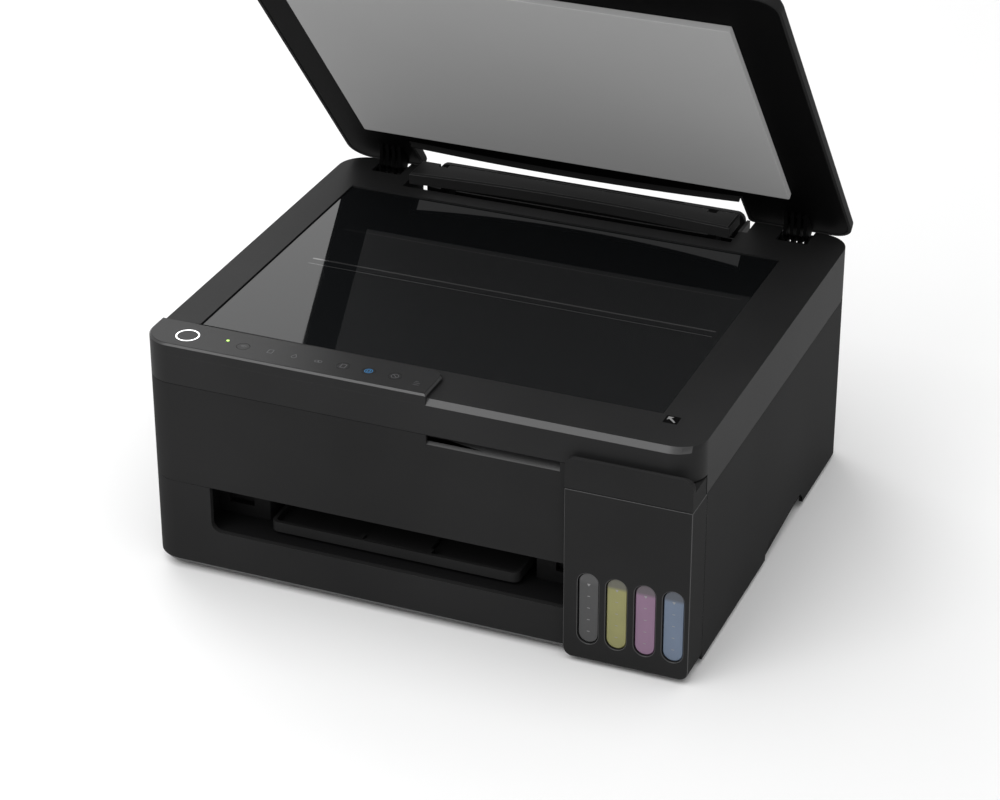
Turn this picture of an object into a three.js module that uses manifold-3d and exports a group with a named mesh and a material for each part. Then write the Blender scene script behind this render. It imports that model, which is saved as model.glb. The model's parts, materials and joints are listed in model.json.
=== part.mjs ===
// All-in-one ink-tank inkjet printer: flatbed scanner on top, ink tanks at the front right,
// output bay in front, paper feeder at the back. Millimetres, +Z up, front towards -Y.
// The document lid stands open at LID_OPEN_DEG in the rest position.
import * as THREE from 'three';
import { mergeVertices } from 'three/addons/utils/BufferGeometryUtils.js';
import Module from 'manifold-3d';

const wasm = await Module();
wasm.setup();

// ---------------------------------------------------------------- driving dimensions

const WIDTH = 375;               // outside width of the body
const DEPTH = 320;               // front face to rear face, without the tank and feeder bulges
const CORNER_R = 20;             // plan radius of the vertical body corners
const WALL = 2.4;                // casing wall
const GAP = 0.3;                 // clearance between neighbouring pieces
const FOOT_H = 3.5;              // rubber foot height
const BASE_SEAM_Z = 65.7;        // seam between lower case and main housing
const SCAN_SEAM_Z = 137.4;       // underside of the scanner unit
const SKIRT_SEAM_Z = 123.5;      // lower edge of the scanner's right-hand skirt and tank housing top
const BEZEL_Z = 161.7;           // top face of the scanner bezel
const PANEL_Z = BEZEL_Z + 3.8;   // top face of the control panel
const ARC = 6;                   // segments in a quarter round

const HALF = WIDTH / 2;
const RIGHT_INNER = HALF - WALL;
const BASE_BEVEL = 3;
const BASE_WALL = WALL + BASE_BEVEL / 2;
const REAR_JOINT_X = HALF - 27.5;   // joint between lower case and main housing in the rear face

const SKIRT = { x: HALF - 38.5, frontGap: 1.5 };
const REAR_RELIEF = { y: DEPTH - 20, height: 1.2 };   // lets the scanner's rear edge swing down a little

// Ink tanks stand against the right wall; a wider sight slot widens the row to the left.
const SLOT_WIDTH = 14;
const TANK_HALF = SLOT_WIDTH / 2 + 0.7;
const TANK_PITCH = 2 * TANK_HALF + 3.1;
const TANK_ROW = [55.6, 37.1, 18.4, 0].map((offset) => RIGHT_INNER - 0.4 - TANK_HALF - offset * TANK_PITCH / 18.5);
const TANK = {
  left: TANK_ROW[0] - TANK_HALF - 8.6, front: -5.7, casingBack: 21, radius: 6, capGap: 2,
  centres: TANK_ROW, halfWidth: TANK_HALF, back: 92, top: 100, slotWidth: SLOT_WIDTH, slotLow: 15, slotHigh: 66,
  neckY: 30, neckR: 5, capR: 6.6, hingeY: 47,
};
const COVER = {
  lipZ: SCAN_SEAM_Z + 8.5, sideBack: 18.2, back: 96, top: SCAN_SEAM_Z - 1.2, faceGap: 1.3,
};

const BAY_LEFT = -HALF + 45.6;
const BAY = {
  left: BAY_LEFT, sill: 33.2, radius: 7, blockY: 27, blockBack: 70,
  blockLeft: BAY_LEFT + 29.9, blockRight: TANK.left - 30.7,
};
const POCKET = {
  low: 41.5, high: 47.3, deep: 5, leftX0: BAY_LEFT - 0.1, leftX1: BAY_LEFT + 17.9, rightX0: TANK.left - 17.5,
};
const TRAY = {
  left: BAY_LEFT + 36.9, right: TANK.left - 37.1, front: 12, back: 205,
  low: BAY.sill + 2.8, rim: BAY.sill + 9.8, plate: 3,
};
const RUNNER = { inner: [TRAY.left + 41, TRAY.right - 43], width: 3 };
const TRAY_MIDDLE = (TRAY.left + TRAY.right) / 2;
const STOP = {
  x0: TRAY_MIDDLE - 21.5, x1: TRAY_MIDDLE + 22.5, y0: 17, length: 20, thick: 2.2, hingeZ: TRAY.low + 4.6,
};

const GLASS = { x0: -HALF + 24.1, x1: HALF - 35.7, y0: 39.2, y1: DEPTH - 49.4, top: BEZEL_Z - 1, thick: 3 };
const BAND = { width: 2.8, z: BEZEL_Z - 3.8 };
const TUB = { floor: 2.2, wall: 2, top: GLASS.top - GLASS.thick - 0.9 };
const CIS = {
  rodY: (GLASS.y0 + GLASS.y1) / 2 + 0.1, rodZ: SCAN_SEAM_Z + 8.6, rodR: 3.2, x0: -HALF + 30.5, x1: -HALF + 46.5,
  y0: GLASS.y0 + 6.8, y1: GLASS.y1 - 6.6, low: SCAN_SEAM_Z + 12.1,
};

const PANEL = { right: -HALF + 198.7, back: 33, cornerR: 9, rim: 1.6 };
const POWER = { x: -HALF + 27.4, y: 15.5, r: 7.7 };
const KEY = { y: 15, r: 4.2, x: [67, 136.5, 153.8, 171.7].map((fromLeft) => fromLeft - HALF) };
const KEY_NAMES = ['network_key', 'mono_copy_key', 'colour_copy_key', 'stop_key'];
const BUTTON_TRAVEL = 1;
const FINGER = { x0: PANEL.right - 0.1, x1: TANK.left - 5.3, drop: 6.5, reach: 9 };

const NOTCH = {
  left: -HALF + 57, right: HALF - 75, front: DEPTH - 36.6, stepRight: HALF - 69.5, stepY: DEPTH - 18,
};
const LID_OPEN_DEG = 50.06;
const LID_HINGE = { y: DEPTH - 5.4, z: BEZEL_Z - 3.8 };
const LID = {
  rim: BEZEL_Z + 4.8, side: 4.5, top: BEZEL_Z + 24.8, front: 2, leftFront: PANEL.back + 3.5,
  notchX: PANEL.right + 3.6, wall: 2, rearNotch: NOTCH.front + 0.8, rearBow: 6, lip: BEZEL_Z + 1.7, inset: 24,
};
const MAT = { x0: -HALF + 27.5, x1: HALF - 35.5, y0: 40.3, y1: DEPTH - 55.7, z0: BEZEL_Z + 0.3 };
const ARM = {
  width: 16.4, ribs: 4, rib: 2.4, centres: [-HALF + 36.7, HALF - 37.3], ringR: 4.5, pinR: 2.2,
  reach: 22.1, shoulder: 14.7, heel: 9.1,
};
const SLOT = { half: 11, front: DEPTH - 20.5, floor: BEZEL_Z - 9.7 };

const FEEDER_LEFT = NOTCH.left + 2.5;
const FEEDER_RIGHT = NOTCH.right - 4.5;
const FEEDER = {
  left: FEEDER_LEFT, right: FEEDER_RIGHT, cheek: 2.4, sheet: 1.7, front: DEPTH + GAP, back: DEPTH + 21.3,
  low: 60, top: BEZEL_Z - 9.7, frontTop: BEZEL_Z - 15.7, earX: [FEEDER_LEFT + 19, FEEDER_RIGHT - 17], ear: 6,
  earLow: BEZEL_Z - 31.7, windowLow: 66, windowHigh: 84, windowX0: FEEDER_LEFT + 28, windowX1: FEEDER_RIGHT - 28,
};
const GUARD = {
  left: NOTCH.left + 3.5, right: NOTCH.right - 2.9, front: NOTCH.front + 4, back: DEPTH - 8.5,
  low: BEZEL_Z + 0.5, top: BEZEL_Z + 8.8, bow: 5.8, bevel: 1.2,
};
const GUARD_HINGE = { y: DEPTH - 8, z: BEZEL_Z - 0.2, r: 2.4 };
const SUPPORT = { thick: 4, low: 82, top: BEZEL_Z - 3.7, hingeZ: 84, side: 0.6, pinY: FEEDER.back - 2.3 };
const EXTENSION = { x0: FEEDER_LEFT + 48, x1: FEEDER_RIGHT - 48, low: 92, thick: 1.4 };
const GUIDE = { left: FEEDER_LEFT + 10, right: FEEDER_RIGHT - 13, wall: 3, toe: 16, low: 92, top: BEZEL_Z - 12.7 };

const MODULE = 1.5;
const TEETH = { feed: 30, idler: 16, exit: 30, pinion: 10 };
const FEED = { y: 182, z: 68, r: 6 };
const PINION_DIRECTION_DEG = 40;
const CHASSIS = { left: -HALF + 37.5, right: TANK.left - 7.1, sheet: 1.6, y0: 100, y1: DEPTH - 30, top: 118 };
const GEAR_X = { x0: CHASSIS.left - 8, x1: CHASSIS.left - 2 };
const CARRIAGE = {
  x0: CHASSIS.right - 60, x1: CHASSIS.right - 4, y0: 116, y1: 168, z0: 74.5, z1: 112, rodY: 177, rodZ: 100, rodR: 4,
};
const BELT = { y: 199, r: 6, thick: 1.2, x0: CHASSIS.left + 22, x1: CHASSIS.right - 18, z0: 103, z1: 108 };
const PICKUP = { x0: CHASSIS.left + 120, x1: CHASSIS.left + 160, y: DEPTH - 58, z: 86, r: 16, shaftR: 4 };
const INLET = { x0: HALF - 75.5, x1: HALF - 47.5, z0: 20, z1: 42, back: DEPTH - 2 };
const SUPPLY = { x0: HALF - 77.5, x1: HALF - 9.5, y0: DEPTH - 105, y1: DEPTH - 20, top: 70 };
const BOARD = { x0: HALF - 77.5, x1: HALF - 7.5, y0: DEPTH - 216, y1: DEPTH - 115, z: 80 };
const FEET = {
  foot_front_left: [-HALF + 37.5, 45], foot_front_right: [HALF - 37.5, 50],
  foot_rear_left: [-HALF + 37.5, DEPTH - 35], foot_rear_right: [HALF - 37.5, DEPTH - 35],
};

// ---------------------------------------------------------------- solids from three.js geometry

function toSolid(geometry) {
  const g = geometry.index ? geometry.toNonIndexed() : geometry;
  g.deleteAttribute('normal');
  g.deleteAttribute('uv');
  const merged = mergeVertices(g, 1e-4);
  return new wasm.Manifold(new wasm.Mesh({
    numProp: 3,
    vertProperties: new Float32Array(merged.attributes.position.array),
    triVerts: new Uint32Array(merged.index.array),
  }));
}

function box(x0, x1, y0, y1, z0, z1) {
  const g = new THREE.BoxGeometry(x1 - x0, y1 - y0, z1 - z0);
  g.translate((x0 + x1) / 2, (y0 + y1) / 2, (z0 + z1) / 2);
  return toSolid(g);
}

// Extrudes a shape between two stations of an axis. The shape's two coordinates are
// (x, y) for axis z, (y, z) for axis x and (x, z) for axis y.
function prism(shape, axis, from, to, segments = ARC) {
  const g = new THREE.ExtrudeGeometry(shape, { depth: to - from, bevelEnabled: false, curveSegments: segments });
  if (axis === 'x') {
    g.rotateX(Math.PI / 2);
    g.rotateZ(Math.PI / 2);
    g.translate(from, 0, 0);
  } else if (axis === 'y') {
    g.rotateX(Math.PI / 2);
    g.translate(0, to, 0);
  } else {
    g.translate(0, 0, from);
  }
  return toSolid(g);
}

function circle(a, b, r) {
  return new THREE.Shape().absarc(a, b, r, 0, 2 * Math.PI);
}

function cylinder(axis, a, b, r, from, to, segments = 20) {
  return prism(circle(a, b, r), axis, from, to, segments);
}

function polygon(points) {
  return new THREE.Shape(points.map(([a, b]) => new THREE.Vector2(a, b)));
}

// Rectangle with its own radius at each corner, anticlockwise from the low-low corner.
function roundRect(a0, a1, b0, b1, r00, r10 = r00, r11 = r00, r01 = r00) {
  const s = new THREE.Shape();
  s.moveTo(a0 + r00, b0);
  s.lineTo(a1 - r10, b0);
  if (r10 > 0) s.absarc(a1 - r10, b0 + r10, r10, -Math.PI / 2, 0);
  s.lineTo(a1, b1 - r11);
  if (r11 > 0) s.absarc(a1 - r11, b1 - r11, r11, 0, Math.PI / 2);
  s.lineTo(a0 + r01, b1);
  if (r01 > 0) s.absarc(a0 + r01, b1 - r01, r01, Math.PI / 2, Math.PI);
  s.lineTo(a0, b0 + r00);
  if (r00 > 0) s.absarc(a0 + r00, b0 + r00, r00, Math.PI, 1.5 * Math.PI);
  return s;
}

function bodyPlan(inset) {
  return roundRect(-HALF + inset, HALF - inset, inset, DEPTH - inset, Math.max(CORNER_R - inset, 1));
}

// Closed solid through horizontal layers [z, outline]; every outline has as many points.
function loft(layers) {
  const count = layers[0][1].length;
  const positions = [];
  for (const [z, outline] of layers) {
    for (const p of outline) positions.push(p.x, p.y, z);
  }
  const index = [];
  for (const [a, b, c] of THREE.ShapeUtils.triangulateShape(layers[0][1], [])) index.push(c, b, a);
  for (let k = 0; k + 1 < layers.length; k++) {
    for (let i = 0; i < count; i++) {
      const j = (i + 1) % count;
      const low = k * count;
      const high = low + count;
      index.push(low + i, low + j, high + j, low + i, high + j, high + i);
    }
  }
  const last = (layers.length - 1) * count;
  const top = layers[layers.length - 1][1];
  for (const [a, b, c] of THREE.ShapeUtils.triangulateShape(top, [])) index.push(last + a, last + b, last + c);
  const g = new THREE.BufferGeometry();
  g.setAttribute('position', new THREE.Float32BufferAttribute(positions, 3));
  g.setIndex(index);
  return toSolid(g);
}

function outline(shape, segments = ARC) {
  const points = shape.getPoints(segments);
  const clean = points.filter((p, i) => p.distanceTo(points[(i + 1) % points.length]) > 1e-4);
  return clean;
}

function union(...solids) {
  return solids.reduce((a, b) => a.add(b));
}

function cut(solid, ...tools) {
  return tools.reduce((a, b) => a.subtract(b), solid);
}

// ---------------------------------------------------------------- materials and nodes

const FINISH = {
  shell: [0x1c1c1d, 0.55, 0], bezel: [0x161617, 0.5, 0], dark: [0x0e0e0f, 0.6, 0],
  mat: [0xc9c9c9, 0.8, 0], glass: [0x0b0d0e, 0.05, 0], metal: [0x9da1a5, 0.35, 0.9],
  rubber: [0x141414, 0.9, 0], gear: [0xd9d7cf, 0.5, 0], board: [0x1f5a34, 0.6, 0],
  black: [0x2b2b2b, 0.2, 0], yellow: [0xb9ad3a, 0.2, 0], magenta: [0xa35f8d, 0.2, 0], cyan: [0x5b7f9e, 0.2, 0],
  copper: [0xa06a3c, 0.4, 0.8],
};

function addNode(parent, name, solid, finish) {
  const data = solid.getMesh();
  const g = new THREE.BufferGeometry();
  g.setAttribute('position', new THREE.Float32BufferAttribute(data.vertProperties, 3));
  g.setIndex(Array.from(data.triVerts));
  g.computeVertexNormals();
  const [color, roughness, metalness] = FINISH[finish];
  const mesh = new THREE.Mesh(g, new THREE.MeshStandardMaterial({ color, roughness, metalness }));
  mesh.name = name;
  parent.add(mesh);
}

// ---------------------------------------------------------------- casing

// Everything right of the front casing's gap, or right of the side wall, belongs to other pieces.
function leftOfTank() {
  return box(TANK.left - TANK.capGap, HALF + 1, -1, TANK.casingBack + GAP, 0, BEZEL_Z);
}

function lowerCase() {
  const bevel = BASE_BEVEL;
  const bevelTop = FOOT_H + 3.6;
  const top = BASE_SEAM_Z - GAP / 2;
  const shell = loft([
    [FOOT_H, outline(bodyPlan(bevel))],
    [bevelTop, outline(bodyPlan(0))],
    [top, outline(bodyPlan(0))],
  ]);
  const hollow = prism(bodyPlan(BASE_WALL), 'z', FOOT_H + WALL, top + 1);
  const mouth = prism(
    roundRect(BAY.left, HALF, BAY.sill, BASE_SEAM_Z + 5, BAY.radius, 0, 0, 0), 'y', -1, WALL + bevel,
  );
  const rightSide = box(HALF - BASE_WALL, HALF + 1, -1, DEPTH + 1, 0, BEZEL_Z);
  const frontRight = box(HALF - CORNER_R, HALF + 1, -1, CORNER_R + GAP, 0, BEZEL_Z);
  const inlet = box(INLET.x0 - GAP, INLET.x1 + GAP, DEPTH - 10, DEPTH + 1, INLET.z0 - GAP, INLET.z1 + GAP);
  const rearRight = box(REAR_JOINT_X, HALF + 1, DEPTH - CORNER_R - 5, DEPTH + 1, 0, BEZEL_Z);
  return cut(shell, hollow, mouth, leftOfTank(), rightSide, frontRight, rearRight, inlet);
}

// Upper casing: front, left and rear walls above the base seam and the whole right side.
function mainHousing() {
  const top = SCAN_SEAM_Z - GAP;
  const shell = prism(bodyPlan(0), 'z', FOOT_H, top);
  const hollow = prism(bodyPlan(WALL), 'z', 0, top + 1);
  const step = top - FINGER.drop;
  const ledge = box(FINGER.x0 - 3, FINGER.x1 + 3, WALL / 2, FINGER.reach + 3, step - 5, top);
  const ramp = prism(polygon([
    [-1, step], [0, step], [FINGER.reach, top + 0.01], [FINGER.reach, top + 2], [-1, top + 2],
  ]), 'x', FINGER.x0, FINGER.x1);
  const belowLeft = box(-HALF - 1, REAR_JOINT_X + GAP, -1, DEPTH + 1, 0, BASE_SEAM_Z + GAP / 2);
  const skirtRoom = box(SKIRT.x, HALF + 1, TANK.casingBack, DEPTH + 1, SKIRT_SEAM_Z - GAP, BEZEL_Z);
  const hold = { y0: 147, y1: 232, top: 13, slope: 8 };
  const handHold = prism(polygon([
    [hold.y0, 0], [hold.y1, 0], [hold.y1 - 2, FOOT_H + 4], [hold.y1 - hold.slope, hold.top],
    [hold.y0 + hold.slope, hold.top], [hold.y0 + 2, FOOT_H + 4],
  ]), 'x', HALF - 10, HALF + 1);
  const window = box(
    FEEDER.windowX0, FEEDER.windowX1, DEPTH - 5, DEPTH + 1, FEEDER.windowLow, FEEDER.windowHigh,
  );
  const joined = cut(union(cut(shell, hollow), ledge), ramp);
  return cut(joined, leftOfTank(), belowLeft, skirtRoom, handHold, window);
}

function foot(x, y) {
  const shape = new THREE.LatheGeometry([
    new THREE.Vector2(0, 0), new THREE.Vector2(7, 0), new THREE.Vector2(8.5, 1),
    new THREE.Vector2(8.5, FOOT_H - GAP), new THREE.Vector2(0, FOOT_H - GAP),
  ], 16);
  shape.rotateX(Math.PI / 2);
  shape.translate(x, y, 0);
  return toSolid(shape);
}

// ---------------------------------------------------------------- output bay and tray

function trayBay() {
  const right = TANK.left - TANK.capGap - GAP;
  const left = BAY.left - 7;
  const back = TRAY.back + 8;
  const floorLow = BAY.sill - WALL;
  const ceiling = BASE_SEAM_Z - 2;
  const front = BASE_WALL + GAP;
  const floor = box(left, right, front, back, floorLow, BAY.sill);
  const wallLeft = box(left - 2, left + 0.01, front + 3, back, FOOT_H + WALL + GAP, ceiling);
  const wallRight = box(right - 2, right, front + 3, back, FOOT_H + WALL + GAP, ceiling);
  const leftBlock = prism(polygon([
    [left, BAY.blockY], [BAY.blockLeft, BAY.blockY], [BAY.blockLeft + 3, BAY.blockY + 7],
    [BAY.blockLeft + 3, BAY.blockBack], [left, BAY.blockBack],
  ]), 'z', BAY.sill - 0.5, ceiling);
  const rightBlock = box(BAY.blockRight, right, BAY.blockY, BAY.blockBack, BAY.sill - 0.5, ceiling);
  const pocketBack = BAY.blockY + POCKET.deep;
  const pocketLeft = box(POCKET.leftX0, POCKET.leftX1, BAY.blockY - 1, pocketBack, POCKET.low, POCKET.high);
  const pocketRight = box(POCKET.rightX0, right - 2, BAY.blockY - 1, pocketBack, POCKET.low, POCKET.high);
  return cut(union(floor, wallLeft, wallRight, leftBlock, rightBlock), pocketLeft, pocketRight);
}

function outputTray() {
  const plan = roundRect(TRAY.left, TRAY.right, TRAY.front, TRAY.back, 5, 5, 1, 1);
  const inner = roundRect(TRAY.left + 2.5, TRAY.right - 2.5, TRAY.front + 2.5, TRAY.back + 5, 3, 3, 0, 0);
  const shell = cut(prism(plan, 'z', TRAY.low, TRAY.rim), prism(inner, 'z', TRAY.low + TRAY.plate, TRAY.rim + 1));
  const low = BAY.sill + GAP;
  const runners = RUNNER.inner.map(
    (x) => box(x, x + RUNNER.width, TRAY.front + 8, TRAY.back, low, TRAY.low + 0.01),
  );
  const flapRoom = box(
    STOP.x0 - 0.5, STOP.x1 + 0.5, STOP.y0 - 3, STOP.y0 + STOP.length + 2, TRAY.low + 1.6, TRAY.rim + 1,
  );
  const posts = [STOP.x0 - 3, STOP.x1 + 0.5].map((x) => cut(
    box(x, x + 2.5, STOP.y0 - 3, STOP.y0 + 3, TRAY.low + 1, TRAY.rim),
    cylinder('x', STOP.y0, STOP.hingeZ, 1.4, x - 1, x + 4, 12),
  ));
  return union(cut(shell, flapRoom), ...runners, ...posts);
}

function paperStop() {
  const flap = box(
    STOP.x0, STOP.x1, STOP.y0, STOP.y0 + STOP.length,
    STOP.hingeZ - STOP.thick / 2, STOP.hingeZ + STOP.thick / 2,
  );
  return union(flap, cylinder('x', STOP.y0, STOP.hingeZ, 1.1, STOP.x0 - 2.4, STOP.x1 + 2.4, 12));
}

function trayExtension() {
  const x0 = RUNNER.inner[0] + RUNNER.width + GAP;
  const x1 = RUNNER.inner[1] - GAP;
  const plan = roundRect(x0, x1, TRAY.front + 5, TRAY.back - 15, 8, 8, 1, 1);
  return prism(plan, 'z', BAY.sill + GAP, TRAY.low - GAP);
}

// ---------------------------------------------------------------- ink tanks

function stadium(x, z0, z1, width) {
  return roundRect(x - width / 2, x + width / 2, z0, z1, width / 2 - 0.01);
}

function tankHousing() {
  const top = SKIRT_SEAM_Z - GAP;
  const back = TANK.casingBack;
  const shell = prism(
    roundRect(TANK.left, HALF, FOOT_H, top, TANK.radius, TANK.radius, 0, 0), 'y', TANK.front, back,
  );
  const hollow = box(
    TANK.left + WALL, RIGHT_INNER, TANK.front + WALL, back + 1, FOOT_H + WALL, top + 1,
  );
  const slots = TANK.centres.map((x) => prism(
    stadium(x, TANK.slotLow, TANK.slotHigh, TANK.slotWidth), 'y', TANK.front - 1, TANK.front + WALL + 1,
  ));
  return cut(shell, hollow, ...slots);
}

function inkTank(x) {
  const front = TANK.front + WALL + GAP;
  const h = TANK.halfWidth;
  const body = prism(roundRect(x - h, x + h, front, TANK.back, 2, 2, 2, 2), 'z', FOOT_H + WALL + GAP, TANK.top, 2);
  const window = prism(
    stadium(x, TANK.slotLow + 0.5, TANK.slotHigh - 0.5, TANK.slotWidth - 1), 'y', front - 1.4, front + 1,
  );
  const neck = cylinder('z', x, TANK.neckY, TANK.neckR, TANK.top - 1, TANK.top + 8, 8);
  const lug = box(x - 1.6, x + 1.6, TANK.hingeY - 3, TANK.hingeY + 3, TANK.top - 1, TANK.top + 12);
  const pinHole = cylinder('x', TANK.hingeY, TANK.top + 9, 1.6, x - 3, x + 3, 4);
  return union(body, window, neck, cut(lug, pinHole));
}

function tankCap(x) {
  const low = TANK.top + 8 + GAP;
  const cap = cylinder('z', x, TANK.neckY, TANK.capR, low, low + 8, 6);
  const hingeZ = TANK.top + 9;
  const arms = [x - 4.4, x + 2].map(
    (x0) => box(x0, x0 + 2.4, TANK.neckY + 2, TANK.hingeY + 2, hingeZ - 0.6, hingeZ + 2.4),
  );
  const pin = cylinder('x', TANK.hingeY, hingeZ, 1.2, x - 4.4, x + 4.4, 3);
  return union(cap, ...arms, pin);
}

// Cover over the tanks: a front lip before the scanner's face and a plate that runs under it.
function tankCover() {
  const low = SKIRT_SEAM_Z + GAP;
  const lip = prism(polygon([
    [TANK.front, low], [-COVER.faceGap, low], [-COVER.faceGap, SCAN_SEAM_Z + 4], [-2.2, COVER.lipZ - 1.4],
    [-3.6, COVER.lipZ], [TANK.front + 1, COVER.lipZ], [TANK.front, COVER.lipZ - 1],
  ]), 'x', TANK.left, HALF);
  const frontBlock = box(TANK.left, HALF, TANK.front, COVER.sideBack, low, COVER.top);
  const rear = box(TANK.left, RIGHT_INNER - 1.5, COVER.sideBack - 1, COVER.back, low, COVER.top);
  const roomFront = box(
    TANK.left + WALL, HALF - WALL, TANK.front + 4, COVER.sideBack - WALL, low - 1, COVER.top - WALL,
  );
  const roomRear = box(
    TANK.left + WALL, RIGHT_INNER - 1.5 - WALL, COVER.sideBack - WALL - 1, COVER.back - WALL,
    low - 1, COVER.top - WALL,
  );
  const rounded = prism(
    roundRect(TANK.left, HALF, low - 20, COVER.lipZ, 0, 0, 8, 8), 'y', TANK.front - 1, COVER.back + 1,
  );
  return cut(union(lip, frontBlock, rear), roomFront, roomRear).intersect(rounded);
}

// ---------------------------------------------------------------- scanner unit

// Plan of the scanner with the feeder's notch in its rear edge.
function scannerPlan(inset, band = 0) {
  const r = Math.max(CORNER_R - inset, 1);
  const x0 = -HALF + inset;
  const x1 = HALF - inset;
  const y0 = inset + band;
  const y1 = DEPTH - inset;
  const s = new THREE.Shape();
  s.moveTo(x0 + r, y0);
  s.lineTo(x1 - r, y0);
  s.absellipse(x1 - r, inset + r, r, r - band, -Math.PI / 2, 0);
  s.lineTo(x1, y1 - r);
  s.absarc(x1 - r, y1 - r, r, 0, Math.PI / 2);
  s.lineTo(NOTCH.stepRight + inset, y1);
  s.lineTo(NOTCH.stepRight + inset, NOTCH.stepY - inset);
  s.lineTo(NOTCH.right + inset, NOTCH.stepY - inset);
  s.lineTo(NOTCH.right + inset, NOTCH.front - inset);
  s.lineTo(NOTCH.left - inset, NOTCH.front - inset);
  s.lineTo(NOTCH.left - inset, y1);
  s.lineTo(x0 + r, y1);
  s.absarc(x0 + r, y1 - r, r, Math.PI / 2, Math.PI);
  s.lineTo(x0, inset + r);
  s.absellipse(x0 + r, inset + r, r, r - band, Math.PI, 1.5 * Math.PI);
  return s;
}

const HINGE_SLOTS = ARM.centres.map((x) => [x - SLOT.half, x + SLOT.half]);

function panelPlan(inset) {
  const r = Math.max(CORNER_R - inset, 1);
  return roundRect(
    -HALF + inset, PANEL.right - inset, inset, PANEL.back - inset, r, 1, Math.max(PANEL.cornerR - inset, 1), 1,
  );
}

function scannerBezel() {
  const low = SKIRT_SEAM_Z;
  const body = loft([
    [low, outline(scannerPlan(0))],
    [BAND.z, outline(scannerPlan(0))],
    [BEZEL_Z, outline(scannerPlan(0, BAND.width))],
  ]);
  const raised = loft([
    [SCAN_SEAM_Z + 5, outline(panelPlan(0))],
    [PANEL_Z - 1.3, outline(panelPlan(0))],
    [PANEL_Z - 0.2, outline(panelPlan(1.2))],
  ]);
  const hollow = prism(scannerPlan(WALL), 'z', low - 1, BEZEL_Z - WALL);
  const ledge = 4;
  const ring = box(
    GLASS.x0 - WALL, GLASS.x1 + WALL, GLASS.y0 - WALL, GLASS.y1 + WALL, GLASS.top - GLASS.thick - 3, BEZEL_Z - 1,
  );
  const seat = box(GLASS.x0, GLASS.x1, GLASS.y0, GLASS.y1, GLASS.top - GLASS.thick - GAP, BEZEL_Z + 1);
  const view = box(
    GLASS.x0 + ledge, GLASS.x1 - ledge, GLASS.y0 + ledge, GLASS.y1 - ledge, low, BEZEL_Z + 1,
  );
  const aboveSkirt = cut(
    box(-HALF - 1, HALF + 1, -1, DEPTH + 1, low - 1, SCAN_SEAM_Z),
    box(SKIRT.x + GAP, HALF + 1, COVER.sideBack + SKIRT.frontGap, DEPTH + 1, low - 2, SCAN_SEAM_Z + 1),
  );
  const rearRelief = union(
    box(SKIRT.x, HALF + 1, REAR_RELIEF.y, DEPTH + 1, low - 1, low + REAR_RELIEF.height),
    box(-HALF - 1, SKIRT.x + 1, REAR_RELIEF.y, DEPTH + 1, low - 1, SCAN_SEAM_Z + REAR_RELIEF.height),
  );
  const panelSeat = prism(panelPlan(PANEL.rim), 'z', PANEL_Z - 2.5, PANEL_Z + 1);
  const panelWell = prism(panelPlan(PANEL.rim + 2.5), 'z', BEZEL_Z - 1.2, PANEL_Z);
  const slots = HINGE_SLOTS.map(([a, b]) => union(
    box(a, b, SLOT.front, DEPTH - WALL - 0.1, low, BEZEL_Z + 1),
    box(a, b, SLOT.front + 1, DEPTH + 1, SLOT.floor, BEZEL_Z + 1),
  ));
  return cut(
    union(cut(union(body, raised), hollow), ring), seat, view, aboveSkirt, rearRelief, panelSeat, panelWell, ...slots,
  );
}

function scannerTub() {
  const low = SCAN_SEAM_Z + 0.2;
  const pan = prism(scannerPlan(WALL + GAP), 'z', low, TUB.top - 3.2);
  const hollow = prism(scannerPlan(WALL + GAP + TUB.wall), 'z', low + TUB.floor, TUB.top);
  const slots = HINGE_SLOTS.map(([a, b]) => box(a - 1, b + 1, SLOT.front - 1, DEPTH, low + TUB.floor, TUB.top));
  const shell = cut(pan, hollow, ...slots);
  const rodEnd = HALF - WALL - GAP - 0.5;
  const rod = cylinder('x', CIS.rodY, CIS.rodZ, CIS.rodR, -rodEnd, rodEnd, 4);
  return union(shell, rod);
}

function scannerGlass() {
  return box(
    GLASS.x0 + GAP, GLASS.x1 - GAP, GLASS.y0 + GAP, GLASS.y1 - GAP, GLASS.top - GLASS.thick, GLASS.top,
  );
}

function cisCarriage() {
  const bar = box(CIS.x0, CIS.x1, CIS.y0, CIS.y1, CIS.low, GLASS.top - GLASS.thick - 3.4);
  const saddle = box(CIS.x0, CIS.x1, CIS.rodY - 10, CIS.rodY + 10, CIS.rodZ - 4.6, CIS.low + 0.5);
  return cut(union(bar, saddle), cylinder('x', CIS.rodY, CIS.rodZ, CIS.rodR + 0.5, CIS.x0 - 1, CIS.x1 + 1, 4));
}

function controlPanel() {
  const plate = prism(panelPlan(PANEL.rim + GAP), 'z', PANEL_Z - 2.2, PANEL_Z);
  const holes = KEY.x.map((x) => cylinder('z', x, KEY.y, KEY.r + GAP, PANEL_Z - 3, PANEL_Z + 1, 5));
  return cut(plate, cylinder('z', POWER.x, POWER.y, POWER.r + GAP, PANEL_Z - 3, PANEL_Z + 1, 8), ...holes);
}

function button(x, y, r, segments) {
  const low = BEZEL_Z - 1.2 + BUTTON_TRAVEL + GAP;
  return union(
    cylinder('z', x, y, r, low, PANEL_Z + 0.1, segments),
    cylinder('z', x, y, r + 1.2, low, PANEL_Z - 2.2 - GAP, segments),
  );
}

// ---------------------------------------------------------------- document lid

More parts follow.
